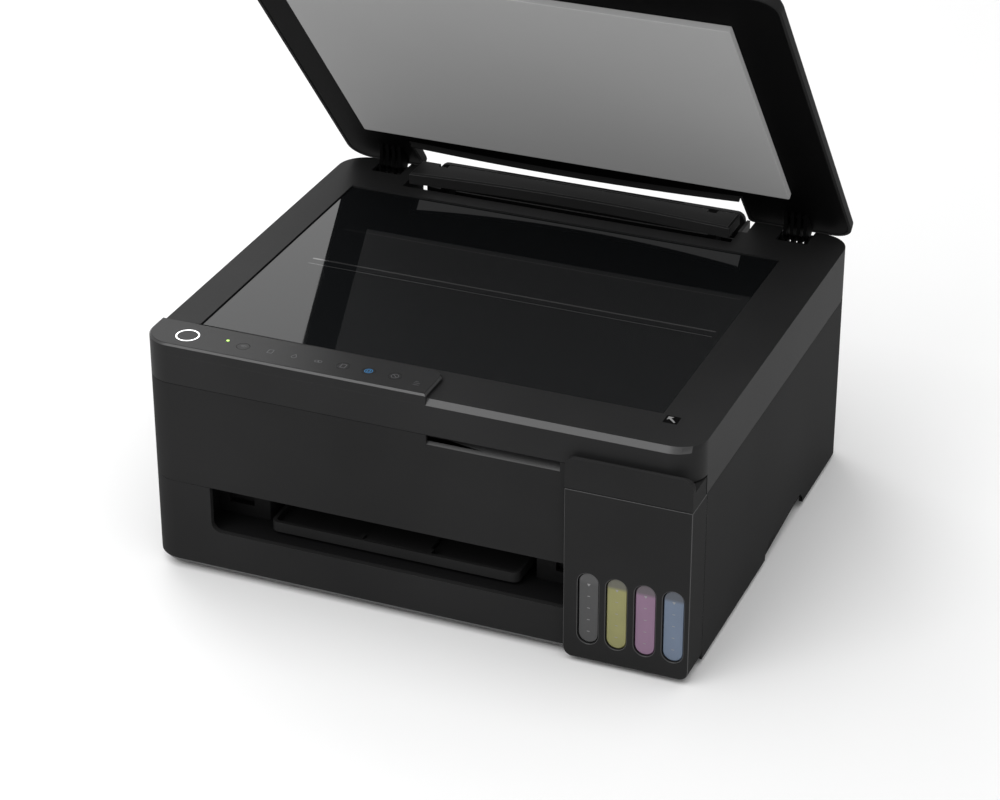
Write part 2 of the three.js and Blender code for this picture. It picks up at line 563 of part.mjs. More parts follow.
// Plan of the closed lid: cleared round the control panel and the feeder at the back.
function lidPlan(inset) {
  const r = Math.max(CORNER_R - inset, 1);
  const x0 = -HALF + inset;
  const x1 = HALF - inset;
  const y1 = DEPTH - inset;
  const left = NOTCH.left - inset;
  const right = NOTCH.right + inset;
  const rear = LID.rearNotch - inset;
  const s = new THREE.Shape();
  s.moveTo(LID.notchX + inset + 8, LID.front + inset);
  s.lineTo(x1 - r, LID.front + inset);
  s.absarc(x1 - r, LID.front + inset + r, r, -Math.PI / 2, 0);
  s.lineTo(x1, y1 - r);
  s.absarc(x1 - r, y1 - r, r, 0, Math.PI / 2);
  s.lineTo(right + 3, y1);
  s.lineTo(right, y1 - 3);
  s.lineTo(right, rear);
  s.quadraticCurveTo((left + right) / 2, rear + 2 * LID.rearBow, left, rear);
  s.lineTo(left, y1 - 3);
  s.lineTo(left - 3, y1);
  s.lineTo(x0 + r, y1);
  s.absarc(x0 + r, y1 - r, r, Math.PI / 2, Math.PI);
  s.lineTo(x0, LID.leftFront + inset + r);
  s.absarc(x0 + r, LID.leftFront + inset + r, r, Math.PI, 1.5 * Math.PI);
  s.lineTo(LID.notchX + inset - 6, LID.leftFront + inset);
  s.lineTo(LID.notchX + inset, LID.leftFront + inset - 6);
  s.lineTo(LID.notchX + inset, LID.front + inset + 8);
  s.lineTo(LID.notchX + inset + 2.4, LID.front + inset + 2.4);
  return s;
}

function lidShell() {
  const shoulder = [
    [LID.rim, 0], [LID.rim + LID.side, 0], [LID.rim + 10, 3.5], [LID.rim + 15, 10], [LID.top, LID.inset],
  ];
  const outer = loft(shoulder.map(([z, inset]) => [z, outline(lidPlan(inset))]));
  const inner = loft([
    [LID.rim - 1, outline(lidPlan(LID.wall))],
    ...shoulder.slice(1).map(([z, inset]) => [z - LID.wall, outline(lidPlan(inset + LID.wall))]),
  ]);
  const lipBand = cut(
    prism(lidPlan(0), 'z', LID.lip, LID.rim + 1),
    prism(lidPlan(LID.wall), 'z', LID.lip - 1, LID.rim + 2),
    box(-HALF - 1, HALF + 1, -1, LID.rearNotch - 5, 0, LID.top),
    box(NOTCH.right - 1, HALF + 1, -1, DEPTH + 1, 0, LID.top),
    box(-HALF - 1, NOTCH.left + 1, -1, DEPTH + 1, 0, LID.top),
  );
  return union(cut(outer, inner), lipBand);
}

// Ribbed hinge arm that reaches from the inner panel down round the hinge pin.
function hingeArm(x) {
  const pitch = (ARM.width - ARM.rib) / (ARM.ribs - 1);
  const side = polygon([
    [LID_HINGE.y - ARM.reach, LID.rim + 1], [LID_HINGE.y - ARM.shoulder, LID.rim - 4.5],
    [LID_HINGE.y - ARM.heel, LID_HINGE.z - 2.5],
    [LID_HINGE.y - 3, LID_HINGE.z - ARM.ringR + 0.8], [LID_HINGE.y + 2, LID_HINGE.z - ARM.ringR + 0.5],
    [LID_HINGE.y + 3.9, LID_HINGE.z - 1], [DEPTH - 3.5, LID.rim + 1],
  ]);
  const ribs = [];
  for (let i = 0; i < ARM.ribs; i++) {
    const x0 = x - ARM.width / 2 + i * pitch;
    ribs.push(prism(side, 'x', x0, x0 + ARM.rib));
  }
  const bore = cylinder('x', LID_HINGE.y, LID_HINGE.z, ARM.pinR + 0.3, x - 20, x + 20, 4);
  return cut(union(...ribs), bore);
}

function lidPanel() {
  const plate = prism(lidPlan(LID.wall + GAP), 'z', LID.rim + GAP, LID.rim + 2.7);
  return union(plate, ...ARM.centres.map(hingeArm));
}

function documentMat() {
  return box(MAT.x0, MAT.x1, MAT.y0, MAT.y1, MAT.z0, LID.rim);
}

function hingePost(x) {
  const low = SCAN_SEAM_Z + TUB.floor + 1;
  const back = DEPTH - WALL - 0.5;
  const half = SLOT.half - GAP;
  const block = box(x - half, x + half, LID_HINGE.y - 10.6, back, low, LID_HINGE.z - 6.5);
  const ears = [-half, half - 1.8].map(
    (dx) => box(x + dx, x + dx + 1.8, LID_HINGE.y - 4, back, low, LID_HINGE.z + 2.8),
  );
  return union(block, ...ears, cylinder('x', LID_HINGE.y, LID_HINGE.z, ARM.pinR, x - half + 1, x + half - 1, 4));
}

// ---------------------------------------------------------------- rear paper feeder

function rearFeeder() {
  const f = FEEDER;
  const face = f.front + f.sheet;
  const front = box(f.left, f.right, f.front, face, f.low, f.frontTop);
  const window = box(f.windowX0, f.windowX1, f.front - 1, face + 1, f.windowLow, f.windowHigh);
  const back = box(f.left, f.right, f.back - f.sheet, f.back, f.low, SUPPORT.low - 4);
  const floor = box(f.left, f.right, f.front, f.back, f.low, f.low + 2.4);
  const cheeks = [f.left, f.right - f.cheek].map((x) => box(x, x + f.cheek, f.front, f.back, f.low, f.top));
  const pins = [f.left + f.cheek - 0.01, f.right - f.cheek - 2.5].map(
    (x) => cylinder('x', SUPPORT.pinY, SUPPORT.hingeZ, 1.3, x, x + 2.51, 3),
  );
  const earFront = GUARD_HINGE.y - 3.8;
  const earTop = f.frontTop + 4;
  const ears = f.earX.map((x) => {
    const x0 = x - f.ear / 2;
    const x1 = x + f.ear / 2;
    return cut(
      union(
        box(x0, x1, f.front, face, f.earLow, earTop),
        box(x0, x1, earFront, face, f.frontTop - 6, earTop),
        box(x0, x1, earFront, GUARD_HINGE.y + 5, f.frontTop, GUARD_HINGE.z + 3.6),
      ),
      cylinder('x', GUARD_HINGE.y, GUARD_HINGE.z, GUARD_HINGE.r + 0.4, x - 5, x + 5, 4),
    );
  });
  return union(cut(front, window), back, floor, ...cheeks, ...pins, ...ears);
}

function guardPlan(inset) {
  const g = GUARD;
  const s = new THREE.Shape();
  s.moveTo(g.left + inset, g.front + inset);
  s.quadraticCurveTo((g.left + g.right) / 2, g.front + inset + 2 * g.bow, g.right - inset, g.front + inset);
  s.lineTo(g.right - inset, g.back - inset);
  s.lineTo(g.left + inset, g.back - inset);
  return s;
}

function feederGuard() {
  const body = loft([
    [GUARD.low, outline(guardPlan(0))], [GUARD.top - GUARD.bevel, outline(guardPlan(0))],
    [GUARD.top, outline(guardPlan(GUARD.bevel))],
  ]);
  const barrel = cylinder(
    'x', GUARD_HINGE.y, GUARD_HINGE.z, GUARD_HINGE.r, GUARD.left + 2, GUARD.right - 2, 4,
  );
  const earRoom = FEEDER.earX.map((x) => box(
    x - FEEDER.ear / 2 - 0.7, x + FEEDER.ear / 2 + 0.7, GUARD_HINGE.y - 6.2, GUARD.back + 1,
    GUARD.low - 1, GUARD.top + 1,
  ));
  return union(cut(body, ...earRoom), barrel);
}

function paperSupport() {
  const x0 = FEEDER.left + FEEDER.cheek + SUPPORT.side;
  const x1 = FEEDER.right - FEEDER.cheek - SUPPORT.side;
  const y0 = FEEDER.back - SUPPORT.thick - 0.3;
  const y1 = FEEDER.back - 0.3;
  const plate = prism(roundRect(x0, x1, SUPPORT.low, SUPPORT.top, 0.5, 0.5, 6, 6), 'y', y0, y1, 3);
  const middle = (y0 + y1) / 2;
  const half = EXTENSION.thick / 2 + GAP;
  const pocket = box(
    EXTENSION.x0 - GAP, EXTENSION.x1 + GAP, middle - half, middle + half, EXTENSION.low - GAP, SUPPORT.top + 1,
  );
  const pinRoom = [x0 - 1, x1 - 3].map(
    (x) => cylinder('x', SUPPORT.pinY, SUPPORT.hingeZ, 1.6, x, x + 4, 3),
  );
  return cut(plate, pocket, ...pinRoom);
}

function supportExtension() {
  const middle = FEEDER.back - 0.3 - SUPPORT.thick / 2;
  const half = EXTENSION.thick / 2;
  return box(EXTENSION.x0, EXTENSION.x1, middle - half, middle + half, EXTENSION.low, SUPPORT.top - 0.5);
}

function edgeGuide(x, inward) {
  const y0 = FEEDER.front + FEEDER.sheet + GAP;
  const y1 = FEEDER.back - SUPPORT.thick - 1.4;
  const toe = inward > 0 ? [x, x + GUIDE.toe] : [x + GUIDE.wall - GUIDE.toe, x + GUIDE.wall];
  return union(
    box(x, x + GUIDE.wall, y0, y1, GUIDE.low, GUIDE.top),
    box(toe[0], toe[1], y0, y0 + 2, GUIDE.low, GUIDE.top - 20),
  );
}

// ---------------------------------------------------------------- print mechanism

const centre = (teethA, teethB) => MODULE * (teethA + teethB) / 2;
const IDLER_Y = FEED.y - centre(TEETH.feed, TEETH.idler);
const EXIT = { y: IDLER_Y - centre(TEETH.idler, TEETH.exit), r: 5 };
const PINION_ANGLE = THREE.MathUtils.degToRad(PINION_DIRECTION_DEG);
const PINION = {
  y: FEED.y + centre(TEETH.feed, TEETH.pinion) * Math.cos(PINION_ANGLE),
  z: FEED.z + centre(TEETH.feed, TEETH.pinion) * Math.sin(PINION_ANGLE),
};

// Spur gear in the YZ plane with a tooth centred on the direction phase.
function gear(y, z, teeth, phase, boreR) {
  const r = MODULE * teeth / 2;
  const pitch = 2 * Math.PI / teeth;
  const tip = r + 0.85 * MODULE;
  const root = r - 1.15 * MODULE;
  const s = [];
  for (let i = 0; i < teeth; i++) {
    const a = phase + i * pitch;
    for (const [radius, share] of [[root, -0.34], [tip, -0.1], [tip, 0.1], [root, 0.34]]) {
      s.push([y + radius * Math.cos(a + share * pitch), z + radius * Math.sin(a + share * pitch)]);
    }
  }
  const body = prism(polygon(s), 'x', GEAR_X.x0, GEAR_X.x1);
  return boreR > 0 ? cut(body, cylinder('x', y, z, boreR, GEAR_X.x0 - 1, GEAR_X.x1 + 1, 5)) : body;
}

function roller(y, z, r, segments) {
  const journal = 3;
  const x0 = CHASSIS.left + CHASSIS.sheet + 1;
  const x1 = CHASSIS.right - 1;
  return union(
    cylinder('x', y, z, r, x0, x1, segments),
    cylinder('x', y, z, journal, GEAR_X.x0 - 2, CHASSIS.right + CHASSIS.sheet + 2, 4),
  );
}

function pickupRoller() {
  const shaft = cylinder(
    'x', PICKUP.y, PICKUP.z, PICKUP.shaftR, CHASSIS.left - 1, CHASSIS.right + CHASSIS.sheet + 1, 4,
  );
  return union(shaft, cylinder('x', PICKUP.y, PICKUP.z, PICKUP.r, PICKUP.x0, PICKUP.x1, 8));
}

function chassisPlate(x0) {
  const x1 = x0 + CHASSIS.sheet;
  const low = BASE_SEAM_Z - 1.2;
  const plate = box(x0, x1, CHASSIS.y0, CHASSIS.y1, low - 10, CHASSIS.top);
  const lower = box(x0 - 1, x1 + 1, CHASSIS.y0 - 1, TRAY.back + 9, low - 11, low);
  const holes = [[FEED.y, FEED.z, 3.4], [EXIT.y, FEED.z, 3.4], [PICKUP.y, PICKUP.z, PICKUP.shaftR + 0.4]].map(
    ([y, z, r]) => cylinder('x', y, z, r, x0 - 1, x1 + 1, 4),
  );
  const shaftHole = cylinder('x', PINION.y, PINION.z, 2.2, x0 - 1, x1 + 1, 3);
  const stub = x0 < 0 ? [cylinder('x', IDLER_Y, FEED.z, 3, GEAR_X.x0, x0 + 1, 4)] : [];
  return union(cut(plate, lower, ...holes, shaftHole), ...stub);
}

function carriageRail() {
  const x0 = CHASSIS.left + CHASSIS.sheet + GAP;
  return cylinder('x', CARRIAGE.rodY, CARRIAGE.rodZ, CARRIAGE.rodR, x0, CHASSIS.right - GAP, 5);
}

function carriage() {
  const c = CARRIAGE;
  const body = box(c.x0, c.x1, c.y0, c.y1, c.z0, c.z1);
  const pocket = box(c.x0 + 3, c.x1 - 3, c.y0 + 3, c.y1 - 6, c.z0 + 10, c.z1 + 1);
  const sleeve = box(c.x0, c.x1, c.y1 - 1, c.rodY + 7, c.rodZ - 7, c.rodZ + 7);
  const clamp = box(c.x0 + 20, c.x0 + 36, c.rodY, BELT.y - BELT.r - GAP, BELT.z0, BELT.z1);
  const bore = cylinder('x', c.rodY, c.rodZ, c.rodR + 0.3, c.x0 - 1, c.x1 + 1, 5);
  return cut(union(cut(body, pocket), sleeve, clamp), bore);
}

function printHead() {
  const c = CARRIAGE;
  return box(c.x0 + 6, c.x1 - 6, c.y0 + 8, c.y1 - 12, c.z0 - 3, c.z0 - GAP);
}

function platen() {
  const y0 = EXIT.y + EXIT.r + 2;
  const y1 = FEED.y - FEED.r - 2;
  const plate = box(CHASSIS.left + CHASSIS.sheet + 1, CHASSIS.right - 1, y0, y1, 65, 68);
  const ribs = [];
  for (let x = CHASSIS.left + 30; x <= CHASSIS.right - 18; x += 40) ribs.push(box(x, x + 2, y0 + 4, y1 - 4, 67.5, 70));
  return union(plate, ...ribs);
}

function feedMotor() {
  const x0 = CHASSIS.left + CHASSIS.sheet + GAP;
  const body = cylinder('x', PINION.y, PINION.z, 13, x0, x0 + 28, 5);
  return cut(body, cylinder('x', PINION.y, PINION.z, 2.2, x0 - 1, x0 + 12, 3));
}

function motorPinion() {
  const feedPitch = 2 * Math.PI / TEETH.feed;
  const feedPhase = Math.PI;
  const offset = (((PINION_ANGLE - feedPhase) % feedPitch) + feedPitch) % feedPitch;
  const phase = PINION_ANGLE + Math.PI + offset * TEETH.feed / TEETH.pinion + Math.PI / TEETH.pinion;
  const shaft = cylinder('x', PINION.y, PINION.z, 1.7, GEAR_X.x1 - 1, CHASSIS.left + CHASSIS.sheet + 10, 3);
  return union(gear(PINION.y, PINION.z, TEETH.pinion, phase, 0), shaft);
}

function carriageMotor() {
  const body = cylinder('z', BELT.x1, BELT.y, 12, 74, BELT.z0 - 3, 5);
  return cut(body, cylinder('z', BELT.x1, BELT.y, 2, 90, BELT.z0, 3));
}

function carriagePulley() {
  return union(
    cylinder('z', BELT.x1, BELT.y, BELT.r - BELT.thick - GAP, BELT.z0, BELT.z1, 5),
    cylinder('z', BELT.x1, BELT.y, 1.6, 92, BELT.z0 + 1, 3),
  );
}

function timingBelt() {
  const loop = (r) => roundRect(BELT.x0 - r, BELT.x1 + r, BELT.y - r, BELT.y + r, r - 0.01);
  const inner = BELT.r - BELT.thick;
  return cut(prism(loop(BELT.r), 'z', BELT.z0, BELT.z1, 5), prism(loop(inner), 'z', BELT.z0 - 1, BELT.z1 + 1, 5));
}

function powerSupply() {
  const s = SUPPLY;
  const floor = FOOT_H + WALL;
  const body = box(s.x0, s.x1, s.y0, s.y1, floor + 6, s.top);
  const inlet = box(INLET.x0, INLET.x1, s.y1 - 1, INLET.back, INLET.z0, INLET.z1);
  const socket = box(INLET.x0 + 3, INLET.x1 - 3, INLET.back - 12, INLET.back + 1, INLET.z0 + 3, INLET.z1 - 3);
  const legs = [s.x0 + 4, s.x1 - 10].map((x) => box(x, x + 6, s.y0 + 10, s.y1 - 10, floor + GAP, floor + 7));
  return cut(union(body, inlet, ...legs), socket);
}

function mainBoard() {
  const b = BOARD;
  const board = box(b.x0, b.x1, b.y0, b.y1, b.z, b.z + 1.6);
  const chips = [[10, 16, 18], [40, 26, 12], [15, 61, 24]].map(
    ([x, y, side]) => box(b.x0 + x, b.x0 + x + side, b.y0 + y, b.y0 + y + side, b.z + 1.5, b.z + 4),
  );
  return union(board, ...chips);
}

// ---------------------------------------------------------------- assembly

const printer = new THREE.Group();
printer.position.y = -(TANK.front + FEEDER.back) / 2;

addNode(printer, 'lower_case', lowerCase(), 'shell');
addNode(printer, 'main_housing', mainHousing(), 'shell');
addNode(printer, 'tank_housing', tankHousing(), 'shell');
addNode(printer, 'tank_cover', tankCover(), 'shell');
for (const [name, [x, y]] of Object.entries(FEET)) addNode(printer, name, foot(x, y), 'rubber');

addNode(printer, 'tray_bay', trayBay(), 'dark');
addNode(printer, 'output_tray', outputTray(), 'shell');
addNode(printer, 'paper_stop', paperStop(), 'shell');
addNode(printer, 'tray_extension', trayExtension(), 'shell');

const INKS = ['black', 'yellow', 'magenta', 'cyan'];
INKS.forEach((ink, i) => {
  addNode(printer, `ink_tank_${ink}`, inkTank(TANK.centres[i]), ink);
  addNode(printer, `tank_cap_${ink}`, tankCap(TANK.centres[i]), ink);
});

const scanner = new THREE.Group();
printer.add(scanner);
addNode(scanner, 'scanner_bezel', scannerBezel(), 'bezel');
addNode(scanner, 'scanner_tub', scannerTub(), 'dark');
addNode(scanner, 'scanner_glass', scannerGlass(), 'glass');
addNode(scanner, 'cis_carriage', cisCarriage(), 'dark');
addNode(scanner, 'control_panel', controlPanel(), 'bezel');
addNode(scanner, 'power_button', button(POWER.x, POWER.y, POWER.r, 8), 'bezel');
KEY_NAMES.forEach((name, i) => addNode(scanner, name, button(KEY.x[i], KEY.y, KEY.r, 5), 'bezel'));

// The lid is drawn closed and turned open about its hinge line.
const lid = new THREE.Group();
lid.position.set(0, LID_HINGE.y, LID_HINGE.z);
lid.rotation.x = -THREE.MathUtils.degToRad(LID_OPEN_DEG);
scanner.add(lid);
const lidFrame = new THREE.Group();
lidFrame.position.set(0, -LID_HINGE.y, -LID_HINGE.z);
lid.add(lidFrame);
addNode(lidFrame, 'lid_shell', lidShell(), 'shell');
addNode(lidFrame, 'lid_panel', lidPanel(), 'dark');
addNode(lidFrame, 'document_mat', documentMat(), 'mat');
ARM.centres.forEach((x, i) => addNode(scanner, ['hinge_post_left', 'hinge_post_right'][i], hingePost(x), 'dark'));

addNode(printer, 'rear_feeder', rearFeeder(), 'dark');
addNode(printer, 'feeder_guard', feederGuard(), 'shell');
addNode(printer, 'paper_support', paperSupport(), 'shell');
addNode(printer, 'support_extension', supportExtension(), 'shell');
addNode(printer, 'edge_guide_left', edgeGuide(GUIDE.left, 1), 'dark');
addNode(printer, 'edge_guide_right', edgeGuide(GUIDE.right, -1), 'dark');

addNode(printer, 'chassis_left', chassisPlate(CHASSIS.left), 'metal');
addNode(printer, 'chassis_right', chassisPlate(CHASSIS.right), 'metal');
addNode(printer, 'carriage_rail', carriageRail(), 'metal');
addNode(printer, 'carriage', carriage(), 'dark');
addNode(printer, 'print_head', printHead(), 'metal');
addNode(printer, 'platen', platen(), 'dark');
addNode(printer, 'feed_roller', roller(FEED.y, FEED.z, FEED.r, 6), 'metal');
addNode(printer, 'exit_roller', roller(EXIT.y, FEED.z, EXIT.r, 6), 'rubber');
addNode(printer, 'pickup_roller', pickupRoller(), 'rubber');
addNode(printer, 'feed_gear', gear(FEED.y, FEED.z, TEETH.feed, Math.PI, 3 + GAP), 'gear');
addNode(printer, 'idler_gear', gear(IDLER_Y, FEED.z, TEETH.idler, Math.PI / TEETH.idler, 3 + GAP), 'gear');
addNode(printer, 'exit_gear', gear(EXIT.y, FEED.z, TEETH.exit, 0, 3 + GAP), 'gear');
addNode(printer, 'feed_motor', feedMotor(), 'metal');
addNode(printer, 'motor_pinion', motorPinion(), 'gear');
addNode(printer, 'carriage_motor', carriageMotor(), 'metal');
addNode(printer, 'carriage_pulley', carriagePulley(), 'gear');
addNode(printer, 'timing_belt', timingBelt(), 'rubber');
addNode(printer, 'power_supply', powerSupply(), 'dark');
addNode(printer, 'main_board', mainBoard(), 'board');

export default printer;
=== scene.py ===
"""All-in-one ink-tank printer: smooth shells, finishes, floor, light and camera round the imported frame.

Shapes are drawn in millimetres in the body's own gauge: x from the middle of the front, y back from the
front face and z up from the floor. place() puts a point of that gauge into the row frame.
"""

import json
import math

import bmesh
import bpy
from mathutils import Matrix, Vector

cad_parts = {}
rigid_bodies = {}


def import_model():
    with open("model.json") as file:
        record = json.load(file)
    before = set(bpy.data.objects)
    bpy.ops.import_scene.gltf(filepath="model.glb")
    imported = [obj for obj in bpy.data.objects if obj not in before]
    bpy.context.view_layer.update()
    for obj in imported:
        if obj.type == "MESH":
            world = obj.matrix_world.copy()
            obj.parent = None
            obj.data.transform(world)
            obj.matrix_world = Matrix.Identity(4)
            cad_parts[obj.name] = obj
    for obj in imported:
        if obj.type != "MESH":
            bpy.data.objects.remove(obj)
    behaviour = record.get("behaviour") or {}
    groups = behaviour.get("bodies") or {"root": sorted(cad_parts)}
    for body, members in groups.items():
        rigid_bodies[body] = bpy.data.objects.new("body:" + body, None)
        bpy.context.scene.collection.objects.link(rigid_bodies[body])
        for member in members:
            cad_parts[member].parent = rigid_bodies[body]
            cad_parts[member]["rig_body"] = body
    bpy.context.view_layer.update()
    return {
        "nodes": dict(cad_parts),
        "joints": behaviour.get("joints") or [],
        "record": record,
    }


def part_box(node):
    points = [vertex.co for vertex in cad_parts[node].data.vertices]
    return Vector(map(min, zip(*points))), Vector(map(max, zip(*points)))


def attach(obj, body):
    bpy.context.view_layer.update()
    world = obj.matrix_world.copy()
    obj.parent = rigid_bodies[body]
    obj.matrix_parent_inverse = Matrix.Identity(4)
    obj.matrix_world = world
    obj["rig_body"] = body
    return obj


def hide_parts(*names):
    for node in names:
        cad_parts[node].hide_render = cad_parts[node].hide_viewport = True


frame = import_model()

# ---------------------------------------------------------------- gauge and sizes from the frame

MM = 0.001
FRONT_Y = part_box("main_housing")[0].y


def place(x, y, z):
    return Vector((x * MM, y * MM + FRONT_Y, z * MM))


class Span:
    """A CAD node's box in the body's gauge."""

    def __init__(self, node):
        low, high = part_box(node)
        self.x0, self.x1 = low.x / MM, high.x / MM
        self.y0, self.y1 = (low.y - FRONT_Y) / MM, (high.y - FRONT_Y) / MM
        self.z0, self.z1 = low.z / MM, high.z / MM


def centre(span):
    return (span.x0 + span.x1) / 2, (span.y0 + span.y1) / 2


CASE = Span("main_housing")
BASE = Span("lower_case")
TANK = Span("tank_housing")
COVER = Span("tank_cover")
GLASS = Span("scanner_glass")
PANEL = Span("control_panel")
GUARD = Span("feeder_guard")
TRAY = Span("output_tray")
BAY = Span("tray_bay")
INKS = ("black", "yellow", "magenta", "cyan")
INK_TANKS = {ink: Span("ink_tank_" + ink) for ink in INKS}

HALF = CASE.x1
DEPTH = CASE.y1
CORNER = 20
WALL = 2.4
SEAM = 0.3
BASE_TOP = BASE.z1
CASE_TOP = CASE.z1
SCAN_LOW = CASE_TOP + SEAM
PANEL_TOP = PANEL.z1
PANEL_RISE = 3.8
BEZEL_TOP = PANEL_TOP - PANEL_RISE
# The bright band along the bezel's front edge: its slope and its height.
BAND = 2.8
BAND_LOW = BEZEL_TOP - 3.8
TANK_GAP = 2
# The output opening's lower edge, and the underside of the tray's plate.
SILL = 33.2
TRAY_LOW = 36
# Past any wall, so that a cut goes right through.
OUT = 5
OVER = 200

# ---------------------------------------------------------------- outlines


def arc(cx, cy, rx, start, end, steps=10, ry=None):
    """Points of an arc, with its angles in degrees."""
    ry = rx if ry is None else ry
    if rx <= 0:
        return [(cx, cy)]
    angles = [math.radians(start + (end - start) * i / steps) for i in range(steps + 1)]
    return [(cx + rx * math.cos(a), cy + ry * math.sin(a)) for a in angles]


def rounded(x0, x1, y0, y1, radius, steps=10):
    """A rectangle with one radius, or with four from its low-low corner anticlockwise."""
    a, b, c, d = radius if isinstance(radius, tuple) else (radius,) * 4
    return (
        arc(x0 + a, y0 + a, a, 180, 270, steps) + arc(x1 - b, y0 + b, b, 270, 360, steps)
        + arc(x1 - c, y1 - c, c, 0, 90, steps) + arc(x0 + d, y1 - d, d, 90, 180, steps)
    )


def stadium(x, z0, z1, width, steps=14):
    r = width / 2
    return arc(x, z0 + r, r, 180, 360, steps) + arc(x, z1 - r, r, 0, 180, steps)


def bow(x0, x1, y, depth, steps=24):
    """A shallow parabola from x0 to x1 that is deepest in the middle."""
    points = []
    for i in range(steps + 1):
        t = i / steps
        points.append((x0 + (x1 - x0) * t, y + 4 * depth * t * (1 - t)))
    return points


def body_plan(inset, steps=14):
    r = max(CORNER - inset, 1)
    return rounded(-HALF + inset, HALF - inset, inset, DEPTH - inset, r, steps)


# ---------------------------------------------------------------- meshes

MERGE = 0.004
# Edges sharper than the first angle are rounded, and those sharper than the second stay sharp in the shading.
BEVEL_ANGLE, SHARP_ANGLE = 32, 50


def mesh_object(name, vertices, faces):
    mesh = bpy.data.meshes.new(name)
    mesh.from_pydata([place(*v) for v in vertices], [], faces)
    obj = bpy.data.objects.new(name, mesh)
    bpy.context.scene.collection.objects.link(obj)
    tidy_mesh(obj)
    return obj


def tidy_mesh(obj):
    bm = bmesh.new()
    bm.from_mesh(obj.data)
    bmesh.ops.remove_doubles(bm, verts=bm.verts, dist=MERGE * MM)
    bmesh.ops.dissolve_degenerate(bm, edges=bm.edges, dist=MERGE * MM)
    bmesh.ops.recalc_face_normals(bm, faces=bm.faces)
    bm.to_mesh(obj.data)
    bm.free()
    return obj


def loft(name, layers):
    """A closed solid through horizontal layers (z, outline) with equal numbers of points."""
    count = len(layers[0][1])
    vertices = [(x, y, z) for z, outline in layers for x, y in outline]
    faces = [tuple(reversed(range(count)))]
    for k in range(len(layers) - 1):
        low, high = k * count, (k + 1) * count
        for i in range(count):
            j = (i + 1) % count
            faces.append((low + i, low + j, high + j, high + i))
    faces.append(tuple(range((len(layers) - 1) * count, len(layers) * count)))
    return mesh_object(name, vertices, faces)


def prism(name, outline, axis, start, end):
    """Extrudes an outline: its two coordinates are (y, z) for axis x, (x, z) for y and (x, y) for z."""
    put = {
        "x": lambda a, b, t: (t, a, b),
        "y": lambda a, b, t: (a, t, b),
        "z": lambda a, b, t: (a, b, t),
    }[axis]
    count = len(outline)
    vertices = [put(a, b, t) for t in (start, end) for a, b in outline]
    faces = [tuple(range(count)), tuple(reversed(range(count, 2 * count)))]
    for i in range(count):
        j = (i + 1) % count
        faces.append((i, j, count + j, count + i))
    return mesh_object(name, vertices, faces)


def block(name, x0, x1, y0, y1, z0, z1):
    return prism(name, rounded(x0, x1, y0, y1, 0), "z", z0, z1)


def rod(name, axis, a, b, radius, start, end, steps=32):
    return prism(name, arc(a, b, radius, 0, 360, steps)[:-1], axis, start, end)


def bake(obj):
    """Turns the object's modifiers into its mesh."""
    bpy.context.view_layer.update()
    shown = obj.evaluated_get(bpy.context.evaluated_depsgraph_get())
    mesh = bpy.data.meshes.new_from_object(shown)
    obj.modifiers.clear()
    obj.data = mesh
    return obj


def combine(obj, operation, tools):
    for tool in tools:
        modifier = obj.modifiers.new("combine", "BOOLEAN")
        modifier.operation = operation
        modifier.solver = "EXACT"
        modifier.object = tool
        bake(obj)
        bpy.data.objects.remove(tool, do_unlink=True)
    return tidy_mesh(obj)


def cut(obj, *tools):
    return combine(obj, "DIFFERENCE", tools)


def join(obj, *tools):
    return combine(obj, "UNION", tools)


def soften(obj, width=0.4, segments=2, edge=False):
    """Rounds the edges and shades the faces between them smoothly.

    With edge, the rounds take the second material, which is smooth and also lighter and glossier than the
    faces: a painted highlight along the edges and seams.
    """
    if edge:
        obj.data.materials.clear()
        obj.data.materials.append(CASE_MAT)
        obj.data.materials.append(HIGHLIGHT_EDGE_MAT)
    modifier = obj.modifiers.new("bevel", "BEVEL")
    modifier.width = width * MM
    modifier.segments = segments
    modifier.limit_method = "ANGLE"
    modifier.angle_limit = math.radians(BEVEL_ANGLE)
    modifier.miter_outer = "MITER_ARC"
    # The rounds take the painted highlight material.
    if edge:
        modifier.material = 1
    bake(obj)
    smooth(obj)
    return obj


def smooth(obj):
    obj.data.shade_smooth()
    obj.data.set_sharp_from_angle(angle=math.radians(SHARP_ANGLE))
    modifier = obj.modifiers.new("normals", "WEIGHTED_NORMAL")
    modifier.keep_sharp = True


def dress(obj, material, body, slot, *nodes):
    """Gives a piece its material and body, and hides the CAD nodes that it stands for. The slot is not used."""
    if len(obj.data.materials) == 2:
        obj.data.materials[0] = material
    else:
        obj.data.materials.clear()
        obj.data.materials.append(material)
    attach(obj, body)
    if nodes:
        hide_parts(*nodes)
    return obj


# ---------------------------------------------------------------- materials


def new_material(name):
    material = bpy.data.materials.new(name)
    material.use_nodes = True
    tree = material.node_tree
    return material, tree.nodes, tree.links, tree.nodes["Principled BSDF"]


def object_noise(nodes, links, scale, detail):
    coordinates = nodes.new("ShaderNodeTexCoord")
    noise = nodes.new("ShaderNodeTexNoise")
    noise.inputs["Scale"].default_value = scale
    noise.inputs["Detail"].default_value = detail
    links.new(coordinates.outputs["Object"], noise.inputs["Vector"])
    return noise


